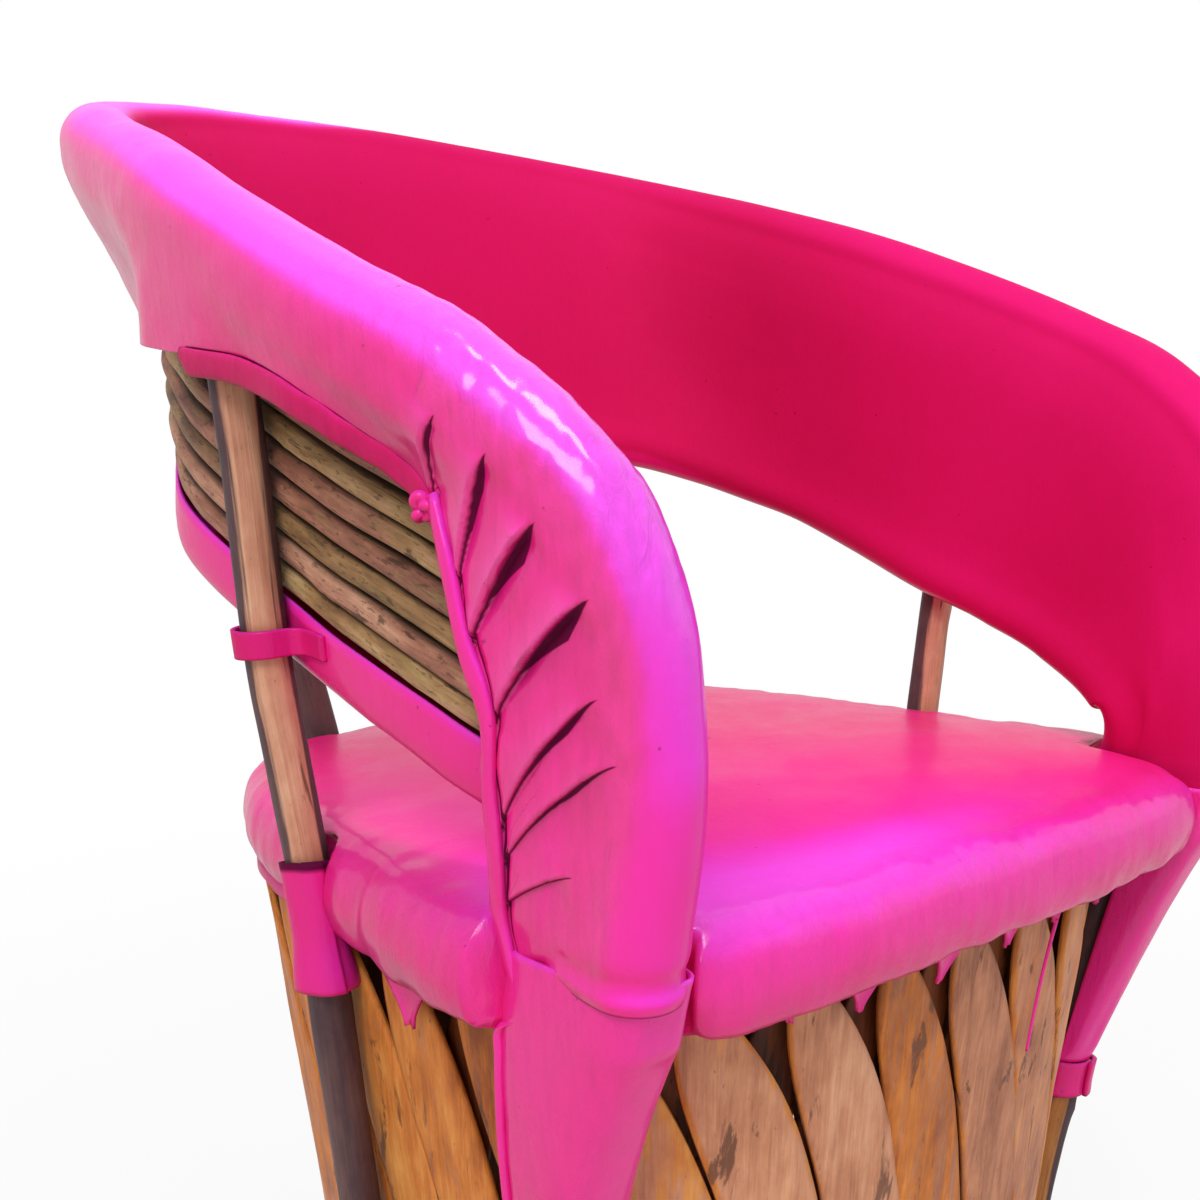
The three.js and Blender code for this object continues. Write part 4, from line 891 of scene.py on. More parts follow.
# The inner face is painted a darker crimson from the crest down, as painted shade; the crest shows it sooner
# on the far arm
crest = 6.9 - 2.4 * np.clip(coverOuter[..., 0] / 200, -0.2, 1)
coverInner = ease(stepRow, crest, crest + 1.1) * (1 - ease(stepRow, 13.2, 14.4))
coverRelief *= 1 - 0.75 * coverInner
shoulder = np.exp(-((coverOuter[..., 2] - 650) / 75) ** 2) * ease(-coverOuter[..., 1], -10, 90)
shoulder *= (1 - coverInner) * (1 - flank)
coverRelief += 0.9 * shoulder * waves(coverOuter * np.array([1, 1, 0.6]), 24, 61, 3)
border = np.exp(-((stepRow - 3.3) / 0.7) ** 2) * ease(coverOuter[..., 2], 430, 470) * (fromEnd < 4)
coverRelief += 0.7 * border * waves(coverOuter, 20, 67, 2)
coverWrinkle = np.clip(0.12 + 0.4 * flank + 0.9 * shoulder + 0.4 * border, 0, 1)
onRoll = (1 - ease(stepRow, 8, 9)) * ease(stepRow, 3.3, 4.3) * ease(coverOuter[..., 2], 470, 560)
onRoll *= mixed(0.3, 1, ease(-coverOuter[..., 1], -200, 0))
# Painted light: the roll's top lifted toward the violet painted sheen, the flank a little darker, and the
# inner face darker toward the back as painted shade
coverPaintedLight = 0.2 * onRoll - 0.04 * flank - 0.35 * coverInner * ease(coverOuter[..., 1], -50, 250)
coverWall = np.clip(coverLine[..., 2].T * 0.8, 1.6, 5)
outerPoints = coverOuter + coverNormals * coverRelief[..., None]
innerPoints = coverOuter - coverNormals * coverWall[..., None]
# The pleats' height, which paints a highlight on the ridges and shade in the valleys
coverFoldShading = np.clip(pleatHeight / pleats["ridge"], -1, 1)
coverFields = {
    "crease": coverFootShade, "wrinkle": coverWrinkle, "inner": coverInner, "glow": coverPaintedLight,
    "fold": coverFoldShading, "lineAcross": lineAcross, "lineHalf": lineHalf,
}
coverBlock = closedShell(outerPoints, innerPoints)
coverObject = leatherPiece(
    "leatherCover", coverBlock, "leather", ("back_leather", "top_rail", "lower_rail"), coverLeather,
    **{key: np.tile(values.ravel(), 2) for key, values in coverFields.items()})
print("cover ready")


def band(path, width, out, breadth, depth, turns=18, squareness=2.8):
    # closed strap along a path: its section is breadth along width and depth along out
    angles = np.arange(turns) * 2 * np.pi / turns
    section = squareRound(angles, (0.5, 0.5), squareness)
    breadth = np.broadcast_to(breadth, (len(path),))[:, None] * section[:, 0]
    depth = np.broadcast_to(depth, (len(path),))[:, None] * section[:, 1]
    return closedTube(path[:, None] + width[:, None] * breadth[..., None] + out[:, None] * depth[..., None])


def joined(blocks):
    points, faces, start = [], [], 0
    for blockPoints, blockFaces in blocks:
        points.append(blockPoints)
        faces += [tuple(corner + start for corner in face) for face in blockFaces]
        start += len(blockPoints)
    return np.concatenate(points), faces


def flapEdge(places, up, inset):
    # a point up from the flap's outer face and inset from its free edge
    frames = BackFrames(places)
    tip = coverSpine(frames)[0]
    return frames.point(tip[:, 0] + tip[:, 2] / 2 + up, tip[:, 1] - inset)


def flapWays(places):
    width = unit(flapEdge(places, 0.0, 0.0) - flapEdge(places, 0.0, 2.0))
    return width, unit(flapEdge(places, 1.0, 2.0) - flapEdge(places, 0.0, 2.0))


# Posts

posts = {
    "sides": 30, "steps": 190, "frontRadius": 14.5, "sleeveWall": 1.8, "footHeight": 24.4, "topGap": 0.42,
    "frontTurns": (213, 219.2), "frontOffsets": (17.5, 27), "frontStations": (1.904, 3.4), "frontMiddle": 14,
    "slim": 0.97, "ripple": 0.03, "knotSpan": 800,
}
posts["knee"] = postRadius + 3 * cover["clearance"] + posts["sleeveWall"]


def surfacePost(angle, lowStation, topStation):
    points = [drumPoint(angle, height, posts["knee"]) for height in (0, hemHeight / 2, hemHeight)]
    for share in (0, 0.25, 0.5, 0.75, 1):
        probe = BackFrames([mixed(lowStation, topStation, share) / lastStation])
        deep = mixed(probe.depth, railRadius + postRadius * posts["topGap"], share)
        points.append(probe.point(np.array([chair["railInset"]]), deep)[0])
    return np.array(points)


def frontPost():
    middle, top = (BackFrames([station / lastStation]) for station in posts["frontStations"])
    reach = railRadius + posts["frontRadius"]
    drumPart = [drumPoint(math.radians(turn), height, offset) for turn, height, offset in zip(
        posts["frontTurns"], (0, hemHeight), posts["frontOffsets"])]
    return np.array(drumPart + [
        middle.point(np.array([-chair["railInset"]]), np.array([reach + posts["frontMiddle"]]))[0],
        top.point(np.array([0.0]), np.array([reach]))[0],
    ])


def fromFloor(path):
    keep = path[path[:, 2] > posts["footHeight"]]
    low, high = path[path[:, 2] <= posts["footHeight"]][-1], keep[0]
    share = (posts["footHeight"] - low[2]) / (high[2] - low[2])
    return np.concatenate([[mixed(low, high, share)], keep])


def tubeRings(path, radii, sidesCount, seed, rough=0.0, knots=(), ripple=0.0, upright=False):
    # rings round a path, with bark relief; knots are (share along, turn, height). Turn 0 points to
    # the right of the path and a quarter turn points up, or +x and +y on an upright path
    path = np.asarray(path, float)
    slope = unit(np.gradient(path, axis=0))
    if upright:
        sideways = unit(flatten(np.broadcast_to([1.0, 0, 0], path.shape), slope))
        upward = unit(np.cross(slope, sideways))
    else:
        sideways = unit(np.cross(slope, [0, 0, 1.0]))
        upward = unit(np.cross(sideways, slope))
    turns = np.arange(sidesCount) * 2 * np.pi / sidesCount
    lengths = np.concatenate([[0], np.cumsum(np.linalg.norm(np.diff(path, axis=0), axis=-1))])
    radii = np.broadcast_to(radii, (len(path),))
    columns = np.cos(turns) * radii[:, None], np.sin(turns) * radii[:, None], lengths[:, None]
    grid = np.stack(np.broadcast_arrays(*columns), -1)
    swell = 1 + rough * waves(grid * np.array([1, 1, 0.12]), 22, seed, 3)
    swell = swell + ripple * waves(grid * np.array([0, 0, 1.0]), 130, seed + 5, 2)
    for share, turn, height in knots:
        alongGap = (lengths[:, None] - share * lengths[-1]) / 9
        turnGap = np.angle(np.exp(1j * (turns[None, :] - turn))) / 0.7
        ring = np.sqrt(alongGap ** 2 + turnGap ** 2)
        swell = swell + height * (np.exp(-ring ** 2) - 1.1 * np.exp(-(ring / 0.35) ** 2))
    spread = swell * radii[:, None]
    rings = (path[:, None, :] + sideways[:, None, :] * (np.cos(turns) * spread)[..., None]
             + upward[:, None, :] * (np.sin(turns) * spread)[..., None])
    return rings, grid


def tubeObject(name, path, radii, sidesCount, seed, material, tint, paint=None, **relief):
    rings, grain = tubeRings(path, radii, sidesCount, seed, **relief)
    points, faces = closedTube(rings)
    flat = grain.reshape(-1, 3) + seed * 31.7
    fields = {"grain": np.concatenate([flat, flat[:1], flat[-1:]]), "tint": np.full(len(points), tint)}
    for key, values in (paint(grain, rings) if paint else {}).items():
        fields[key] = np.concatenate([values.ravel(), values[0, :1], values[-1, :1]])
    return makeObject(name, points, faces, material, fields)


postPaths = {
    "front_post": frontPost(),
    "side_post": surfacePost(math.radians(176.6), 5.12, 5.515),
    "back_post": surfacePost(math.radians(115.8), 7.216, 7.28),
}
postCurves = {kind: along(points, np.linspace(0, 1, posts["steps"])) for kind, points in postPaths.items()}

# Knots: share of the knots' span of height, turn on the left post, and how far each stands up
postLooks = {
    "front_post": {"wood": barkWood, "tint": 0.35, "radius": posts["frontRadius"], "slot": "bark_wood",
                   "rough": 0.05, "narrowing": 0.38, "knots": [(0.24, 5.2, 0.16), (0.14, 3.6, 0.12)]},
    "side_post": {"wood": peeledWood, "tint": 0.62, "radius": postRadius, "slot": "peeled_wood",
                  "rough": 0.045, "narrowing": 0,
                  "knots": [(0.84, -0.7, 0.1), (0.655, -0.75, 0.12), (0.22, -1.2, 0.1)]},
    "back_post": {"wood": barkWood, "tint": 0.7, "radius": postRadius, "slot": "bark_wood",
                  "rough": 0.05, "narrowing": 0, "knots": [(0.45, 1.2, 0.1), (0.75, 2.4, 0.12)]},
}


def postPaint(kind, side):
    # a peeled post is bare in front, and has bark behind and below its sleeve; a bark post has a
    # peeled scar low down
    bareTurn = 4.3

    def paint(grain, rings):
        turn = np.arctan2(grain[..., 1], grain[..., 0])
        height = rings[..., 2]
        knotDark = np.zeros(height.shape)
        for share, knotTurn, _ in postLooks[kind]["knots"]:
            above = height - share * posts["knotSpan"]
            aside = np.angle(np.exp(1j * (turn - side * knotTurn)))
            knotDark = np.maximum(knotDark, 0.9 * np.exp(-(above ** 2 / 16 + aside ** 2 / 0.05)))
        if kind == "side_post":
            bark = 0.5 + 1.3 * (0.7 - np.cos(turn - bareTurn))
            bark = mixed(bark, 0.78, ease(-height, -400, -380))
            return {"other": bark, "stain": knotDark}
        scar = np.exp(-((turn - math.atan2(-1, -side * 0.9)) / 0.5) ** 2)
        return {"other": 0.15 + 0.6 * scar * (1 - ease(height, 190, 260)), "stain": knotDark}
    return paint


for order, (kind, curve) in enumerate(postCurves.items()):
    look = postLooks[kind]
    for word, side in sides:
        path = fromFloor(mirrorX(curve, side))
        foot, top = path[0, 2], path[-1, 2]
        knots = []
        for share, turn, height in look["knots"]:
            place = (share * posts["knotSpan"] - foot) / (top - foot)
            knots.append((place, turn if side > 0 else math.pi - turn, height))
        radii = look["radius"] * posts["slim"] * (1 - look["narrowing"] * ease(path[:, 2], 398, 418))
        made = tubeObject(
            f"{kind}_{word}_pole", path, radii, posts["sides"], 80 + order * 7 + (side > 0), look["wood"],
            look["tint"], postPaint(kind, side), rough=look["rough"], knots=knots, ripple=posts["ripple"],
            upright=True)
        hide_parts(f"{kind}_{word}")
print("posts ready")

# Back sticks

sticks = {
    "count": 8, "radius": cover["stickRadius"], "pitch": 14.9, "setback": 20, "steps": 170, "sides": 16,
}
firstStick = wrapRise + cover["clearance"] + sticks["radius"]
dice = random.Random(11)


def placeAtY(targetY, across, aboveLow):
    # where on the back, from its right end, a line along it reaches a depth
    near, far = 1 / lastStation, 8 / lastStation
    for _ in range(30):
        middle = (near + far) / 2
        probe = BackFrames([middle])
        if probe.point(np.array([across]), probe.depth - aboveLow)[0, 1] < targetY:
            near = middle
        else:
            far = middle
    return near


def stickPaint(seed):
    def paint(grain, rings):
        up = np.abs(grain[..., 1]) / sticks["radius"]
        hue = 0.5 + 0.5 * waves(grain * np.array([0.3, 0.3, 1]), 260, seed, 2) + 0.4 * math.sin(seed * 2.3)
        # The sticks' upper and lower faces, which face the next stick, are darkened: painted shade in the
        # gaps between sticks
        return {"stain": 0.9 * ease(up, 0.62, 0.97), "other": hue}
    return paint


for stick in range(sticks["count"]):
    above = firstStick + stick * sticks["pitch"]
    start = placeAtY(sticks["setback"] - chair["lowFrontReach"], stickLine, above)
    places = np.linspace(start, 1 - start, sticks["steps"])
    frames = BackFrames(places)
    path = frames.point(np.full(len(places), stickLine), frames.depth - above)
    wander = waves(path, 170, 40 + stick, 2)[:, None] * np.array([0.3, 0.3, 1.0])
    knots = [(dice.uniform(0.03, 0.97), dice.uniform(0, 6.28), dice.uniform(0.1, 0.2)) for _ in range(10)]
    radius = sticks["radius"] * dice.uniform(0.92, 0.99)
    made = tubeObject(
        f"backStick{stick + 1}", path + wander, radius, sticks["sides"], 60 + stick, stickWood,
        dice.uniform(0.2, 0.9), stickPaint(60 + stick), rough=0.08, knots=knots, ripple=0.05)
    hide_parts(f"back_stick_{stick + 1}")
print("sticks ready")

# Sheaths, seam strips, collars and sleeves

sheath = {
    "wall": 2.6, "drop": 8, "foot": 228.4, "outward": 28, "inward": 16, "forward": 58, "rearward": 26,
    "turns": (117, 343), "rows": 60, "columns": 72, "tuck": 0.2, "seamTurn": 139, "slack": 0.4,
}
# Bands rolled round a post: lowest and highest level, rows between them, wall, slack inside, first
# turn and how far round in degrees, how far the foot flares, and how far the rims slant
rolled = {
    "collar": {"levels": (202, 228, 10), "wall": 3, "slack": 1.2, "turns": (250, 380), "flare": 0.8,
               "slant": -1.5},
    "sleeve": {"levels": (362, 434, 26), "wall": posts["sleeveWall"], "slack": 0.5, "turns": (230, 403),
               "flare": 3.2, "slant": 3},
    "columns": 64, "rimRows": 2, "rimShade": 0.8,
}
frontCurve, sideCurve = postCurves["front_post"], postCurves["side_post"]


def postAt(curve, heights):
    # a post's middle and direction at the heights
    heights = np.atleast_1d(np.asarray(heights, float))
    middle, way = (np.stack([np.interp(heights, curve[:, 2], values[:, k]) for k in range(3)], -1)
                   for values in (curve, unit(np.gradient(curve, axis=0))))
    return middle, unit(way)


def sheathSurface(share, turn, offset):
    # share runs down the sheath and turn, in degrees, goes round it
    share, turn = np.asarray(share, float)[:, None], np.radians(turn)[None, :]
    down = np.clip(share, 0, 1)
    radius = posts["frontRadius"] + sheath["slack"] + sheath["wall"] / 2

    def reach(key, power):
        return mixed(sheath[key], radius, down ** power)

    flat = squareRound(turn, (1, 1), mixed(4, 2, down))
    x = flat[..., 0] * np.where(flat[..., 0] < 0, reach("outward", 3), reach("inward", 1))
    y = flat[..., 1] * np.where(flat[..., 1] < 0, reach("forward", 0.85), reach("rearward", 1.3))
    fold = 0.9 * np.sin(turn * 7 + 1) * ease(down, 0.3, 1) * (1 - ease(down, 0.93, 1))
    grow = 1 + (offset + fold) / np.hypot(x, y)
    heights = mixed(armFoot - sheath["drop"], sheath["foot"], share)
    centre, _ = postAt(frontCurve, heights[:, 0])
    z = np.broadcast_to(heights, x.shape)
    return np.stack([centre[:, None, 0] + x * grow, centre[:, None, 1] + y * grow, z], -1)


def rolledBand(curve, radius, kind):
    # a sheet rolled round a post, its last part lapped over its first
    look = rolled[kind]
    wall, (fromTurn, turned) = look["wall"], look["turns"]
    share = np.linspace(0, 1, rolled["columns"])
    turn = np.radians(fromTurn + turned * share)
    levels = np.linspace(*look["levels"])
    high = (levels - levels[0]) / (levels[-1] - levels[0])
    lap = (wall + 0.5) * ease(share, 0.84, 0.93)
    middle = radius + look["slack"] + wall / 2 + lap + look["flare"] * (1 - ease(high, 0, 0.45))[:, None]
    heights = levels[:, None] + look["slant"] * np.cos(turn - 4.2)[None, :] * (0.3 + 0.7 * high[:, None])
    shells = []
    for offset in (wall / 2, -wall / 2):
        centre, way = postAt(curve, heights.ravel())
        centre, way = (block.reshape(*heights.shape, 3) for block in (centre, way))
        lean = unit(way * np.array([1, 1, 0]))
        radial = np.stack([np.cos(turn), np.sin(turn), 0 * turn], -1)[None] * (middle + offset)[..., None]
        stretch = np.sum(radial * lean, -1, keepdims=True) * (1 / way[..., 2:] - 1)
        shells.append(centre + radial + lean * stretch)
    return closedShell(*shells)


def seamPath():
    # down the flap's edge, then down the sheath's rear edge to the collar
    chosen = np.round(np.linspace(seam["topPlace"], 0.1, 12) / cover["armLastStation"] * armRows).astype(int)
    columns = np.argmax(tipDistance[chosen] >= seam["setback"], axis=1)
    face, out = coverOuter[chosen, columns], coverNormals[chosen, columns]
    out = out * np.where(out[:, :1] < 0, 1, -1)
    armPart = face + out * seam["lift"]
    width = unit(coverOuter[chosen, 0] - face)
    downs = np.linspace(0.04, 0.985, 14)
    turn, offset = sheath["seamTurn"], sheath["wall"] / 2 + seam["lift"]
    nudges = ((0, 0), (6, 0), (0, 2))
    sheathPart, beside, outside = (
        sheathSurface(downs, [turn - aside], offset + beyond)[:, 0] for aside, beyond in nudges)
    shares = np.linspace(0, 1, 150)
    path, across, outward = (along(np.concatenate(parts), shares) for parts in (
        (armPart, sheathPart), (width, unit(beside - sheathPart)), (out, unit(outside - sheathPart))))
    return path, unit(across), unit(outward)


def bothSides(entries):
    # leather pieces for each side of the chair: name, node that it replaces, the right one's points
    # and faces, slot and fields
    for word, side in sides:
        for name, node, (points, faces), slot, fields in entries:
            replaced = [f"{node}_{word}"] if node else ()
            leatherPiece(f"{name}_{word}", (mirrorX(points, side), faces), slot, replaced, **fields)


shares = np.linspace(-sheath["tuck"], 1, sheath["rows"])
turns = np.linspace(*sheath["turns"], sheath["columns"])
outer = sheathSurface(shares, turns, sheath["wall"] / 2)
sheathOut = unit(outer - postAt(frontCurve, outer[:, 0, 2])[0][:, None])
outer += 0.7 * waves(outer, 60, 23, 2)[..., None] * sheathOut
inner = sheathSurface(shares, turns, -sheath["wall"] / 2)
path, width, out = seamPath()
breadth = seam["breadth"] * (1 + 0.12 * waves(path, 60, 5, 2))
# The sleeve's top rows are darkened, painted shade at its rim
topRimShade = np.zeros((rolled["sleeve"]["levels"][2], rolled["columns"]))
topRimShade[-rolled["rimRows"]:] = rolled["rimShade"]
bothSides([
    ("armSheath", "arm_sheath", closedShell(outer, inner), "leather", {"wrinkle": 0.5}),
    ("armSeam", "arm_seam", band(path, width, out, breadth, seam["depth"]), "strap_leather", {"glow": 0.02}),
    ("frontCollar", "front_collar", rolledBand(frontCurve, posts["frontRadius"], "collar"), "strap_leather",
     {"glow": -0.2, "inner": 0.2}),
    ("postSleeve", "post_sleeve", rolledBand(sideCurve, postRadius, "sleeve"), "strap_leather",
     {"crease": np.tile(topRimShade.ravel(), 2), "inner": 0.35}),
])
print("sheaths ready")

# Straps

straps = {
    "upperFrom": 3.82, "upperTo": 5.5, "upperWidth": (12, 14), "upperWall": 3.4, "lap": 3.2,
    "lowerWidth": 15, "lowerWall": 2.5, "rise": 12, "wings": (25.5, 6.8), "station": 5.12, "lowerSteps": 90,
    "lowerRows": 12, "knotSteps": 70, "knotSides": 12,
}


def upperStrap():
    shares = np.linspace(0, 1, 90)
    places = mixed(straps["upperFrom"], straps["upperTo"], shares) / lastStation
    breadth = mixed(*straps["upperWidth"], shares) * np.minimum(1, ease(shares, -0.04, 0.04) * 2)
    breadth = breadth * mixed(0.45, 1, 1 - ease(shares, 0.965, 1))
    sway = 1.0 * np.sin(shares * 19) + 0.7 * np.sin(shares * 41 + 1)
    path = flapEdge(places, 0.9, straps["lap"] - breadth / 2 - 0.3 * sway)
    width, out = flapWays(places)
    return band(path, width, out, breadth, straps["upperWall"] * (1 + 0.15 * np.sin(shares * 30)))


def knotLoop(centre, radius, wall, turnBy):
    # a small tied knot: a tube that loops over itself
    count, sidesCount = straps["knotSteps"], straps["knotSides"]
    share = np.linspace(0, 2 * np.pi, count, endpoint=False)
    loop = np.stack([np.sin(share) + 1.6 * np.sin(2 * share), np.cos(share) - 1.6 * np.cos(2 * share),
                     -0.9 * np.sin(3 * share)], -1) * radius / 2.6
    cosine, sine = math.cos(turnBy), math.sin(turnBy)
    loop = loop @ np.array([[cosine, 0, sine], [0, 1, 0], [-sine, 0, cosine]]).T
    slope = unit(np.roll(loop, -1, 0) - np.roll(loop, 1, 0))
    sideways = unit(np.cross(slope, loop + 1e-3))
    upward = np.cross(sideways, slope)
    turns = (np.arange(sidesCount) * 2 * np.pi / sidesCount)[None, :, None]
    rings = loop[:, None] + wall * (np.cos(turns) * sideways[:, None] + np.sin(turns) * upward[:, None])
    faces = gridFaces(count + 1, sidesCount, True)
    faces = [tuple(corner % (count * sidesCount) for corner in face) for face in faces]
    return rings.reshape(-1, 3) + centre, faces


def lowerStrap():
    radius = postRadius + cover["slack"] + cover["clearance"] + straps["lowerWall"] / 2
    flat = straps["lowerWall"] / 2 + 3 * cover["clearance"] - postRadius
    arc = [(radius * math.cos(turn), radius * math.sin(turn)) for turn in np.linspace(math.pi, 0, 9)]
    before, after = (
        [(sign * (radius + 1.2), flat * 0.6), (sign * (radius + 5), flat), (sign * (radius + wing), flat)]
        for sign, wing in zip((-1, 1), straps["wings"]))
    steps, rowsCount = straps["lowerSteps"], straps["lowerRows"]
    line = along(np.array(before[::-1] + arc + after), np.linspace(0, 1, steps))
    run = unit(np.gradient(line, axis=0))
    frames = BackFrames([straps["station"] / lastStation])
    rise = straps["rise"] - np.linspace(0, 1, rowsCount) * straps["lowerWidth"]
    inset = np.full((1, rowsCount), chair["railInset"])
    level = frames.point(inset, frames.depth[:, None] - rise)[0, :, 2]
    centre, way = postAt(sideCurve, level)
    across = unit(flatten(np.broadcast_to(frames.lowSlope, way.shape), way))
    outward = flatten(np.broadcast_to(frames.outAtLow, way.shape), way)
    outward = unit(flatten(outward, across))
    sag = 1.2 * np.sin(np.linspace(0, 5, steps))[None, :, None] * np.array([0, 0, 1.0])
    shells = []
    for offset in (1, -1):
        moved = (line + np.stack([-run[:, 1], run[:, 0]], -1) * offset * straps["lowerWall"] / 2)[None]
        strap = centre[:, None] + across[:, None] * moved[..., :1] + outward[:, None] * moved[..., 1:]
        shells.append(strap + sag)
    return closedShell(*shells)


end = flapEdge(np.array([straps["upperFrom"] / lastStation]), 2.2, -2.0)[0]
knots = joined([knotLoop(end, 4.6, 2.6, 0.5), knotLoop(end + np.array([0.5, 2.0, -3.4]), 3.8, 2.4, -0.7)])
bothSides([
    ("upperStrap", "upper_strap", upperStrap(), "strap_leather",
     {"wrinkle": 0.6, "glow": -0.15, "inner": 0.6}),
    ("lowerStrap", "lower_strap", lowerStrap(), "strap_leather", {"wrinkle": 0.4, "inner": 0.6}),
    ("strapKnot", None, knots, "strap_leather", {"glow": -0.1}),
])
print("straps ready")

# Crossed slats

slats = {
    "pairs": 26, "width": 55, "innerWidth": 47, "thickness": 6, "gap": 5.9, "foot": 2.5, "tipCover": 8,
    "lean": 0.07, "heights": [0, 0.22, 0.5, 0.76, 0.86, 0.94, 1],
    "widths": [0.76, 0.9, 1, 0.97, 0.84, 0.56, 0.12], "rows": 60, "columns": 13, "goldTurns": (160, 228),
}


def slatGrid(centre, lean, depthIn, width, seed):
    # outer and inner grids of one leaf-shaped slat, its grain and its tint
    source = np.random.default_rng(seed)
    high = np.linspace(0, 1, slats["rows"])
    widths = np.interp(high, slats["heights"], slats["widths"])
    widths = np.convolve(np.pad(widths, 2, mode="edge"), np.ones(5) / 5, "valid")
    height = mixed(slats["foot"], hemHeight + slats["tipCover"], high)
    across = np.linspace(-1, 1, slats["columns"])
    bow = source.uniform(-0.004, 0.004) * np.sin(high * np.pi) - lean * 0.005 * ease(high, 0.66, 1)
    shift = lean * slats["lean"] * (0.5 - high) + bow
    wobble = 1 + 0.035 * waves(np.stack([high * 400, high * 0 + seed * 9, high * 0], -1), 150, seed, 2)
    half = (width * widths * wobble / 2 / drumPerimeter)[:, None]
    share = centre + shift[:, None] + across[None, :] * half
    chordLow, chordHigh = (
        drumPoint(angleAtShare(edge), height[:, None], 0) for edge in (share[:, :1], share[:, -1:]))
    flat = mixed(chordLow, chordHigh, (across[None, :, None] + 1) / 2)
    inward = unit(np.cross(chordHigh - chordLow, np.array([0, 0, 1.0])))
    inward = inward * np.where(np.sum(inward * flat[:, :1], -1, keepdims=True) > 0, -1, 1)
    edgeLift = 1.5 * np.abs(across) ** 5
    face = flat + inward * (depthIn + edgeLift[None, :, None])
    run, tall = share * drumPerimeter, height[:, None] * np.ones_like(share)
    relief = 0.4 * waves(np.stack([run, tall * 0.08, np.full_like(share, seed)], -1), 14, seed, 3)
    outer = face + inward * relief[..., None]
    inner = flat + inward * (depthIn + slats["thickness"] - edgeLift[None, :, None])
    return outer, inner, np.stack([run, np.zeros_like(share), tall], -1), source.uniform(0.15, 0.9)


def slatObject(name, node, grid, material, seed, gold):
    outer, inner, grain, tint = grid
    points, faces = closedShell(outer, inner)
    flat = grain.reshape(-1, 3) + seed * 53.1
    across = np.broadcast_to(np.linspace(-1, 1, slats["columns"]), outer.shape[:2])
    # The slats' long edges turn toward the golden ramp, a painted highlight along the edges
    edge = 0.5 * ease(-across, 0.86, 1.0) + 0.3 * ease(across, 0.9, 1.0)
    other = (gold + edge).ravel()
    tipShade = (0.5 * ease(outer[..., 2], hemHeight - 14, hemHeight + 4)).ravel()
    made = makeObject(name, points, faces, material, {
        "grain": np.concatenate([flat, flat + np.array([0, slats["thickness"], 0])]),
        "tint": np.full(len(points), tint), "other": np.tile(other, 2), "stain": np.tile(tipShade, 2),
    })
    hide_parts(node)


for pair in range(slats["pairs"]):
    centre = (pair + 0.5) / slats["pairs"]
    turn = math.degrees(float(angleAtShare(centre)))
    near, far = slats["goldTurns"]
    gold = 0.72 if near < turn < far else 0.28 + 0.3 * math.sin(pair * 2.4)
    node = f"slat_pair_{pair + 1:02d}"
    outerGrid = slatGrid(centre, 1, 0, slats["width"], 200 + pair)
    innerGrid = slatGrid(centre, -1, slats["thickness"] + slats["gap"], slats["innerWidth"], 300 + pair)
    slatObject(f"slatPair{pair + 1}outer", node, outerGrid, outerCedar, pair, gold)
    slatObject(f"slatPair{pair + 1}inner", node, innerGrid, innerCedarShaded, pair + 40, 0.3)
print("slats ready")

# Seat cushion

seat = {
    "edge": 34, "bulge": 6, "columns": 720, "skirt": 13, "under": 2.8, "hollow": 14, "notch": 15.5,
    "notchReach": 26, "armInner": 213, "armFront": (-159, -147), "softEdge": 22, "hemRadius": 240,
    "samples": [1, 1, 3] + [7] * 7 + [8] * 5 + [6],
    "crown": ((0.74, 0.36), (0.62, 0.56), (0.46, 0.76), (0.3, 0.9), (0.15, 0.98), (0.04, 1)),
}


def seatCushion():
    angles = np.arange(seat["columns"]) * 2 * np.pi / seat["columns"]
    half, power, taper = chair["seatHalf"], chair["seatPower"], chair["seatTaper"]
    thickness, crown, top = chair["seatThickness"], chair["seatCrown"], chair["seatHeight"]
    edge = seat["edge"]

    def level(flat, height):
        return np.concatenate([flat, np.full((len(angles), 1), height)], -1)

    def ring(inset, height):
        return level(offsetRound(angles, half, power, np.full(len(angles), -float(inset)), taper), height)

    def shrunk(share, height):
        return level(squareRound(angles, half, power, taper) * share, height)

    def drumRing(offset, height):
        return level(drumPoint(angles, hemHeight, offset)[:, :2], height)

    # The hem's ring stays inside the cushion's side, also where the drum is the wider of the two
    hemRing, sideRing = drumRing(seat["skirt"] - seat["bulge"], hemHeight - 0.6), ring(seat["bulge"], 0)
    polar = [np.arctan2(block[:, 1], block[:, 0]) for block in (hemRing, sideRing)]
    allowed = np.interp(polar[0], polar[1], np.hypot(sideRing[:, 0], sideRing[:, 1]), period=2 * np.pi) - 1.5
    hemRing[:, :2] *= np.minimum(1, allowed / np.hypot(hemRing[:, 0], hemRing[:, 1]))[:, None]
    ceiling, inside = hemHeight + seat["hollow"], seat["under"]
    under = [shrunk(0.1, ceiling), drumRing(inside, ceiling), drumRing(inside, hemHeight), hemRing]
    insets = ((0.5, 0.28), (0, 0.5), (edge * 0.12, 0.76), (edge * 0.45, 0.94))
    rise = [ring(seat["bulge"], hemHeight + 3)]
    rise += [ring(inset, hemHeight + thickness * high) for inset, high in insets] + [ring(edge, top)]
    dome = [shrunk(share, top + crown * high) for share, high in seat["crown"]]
    return *sampled(np.stack(under + rise + dome), seat["samples"]), angles


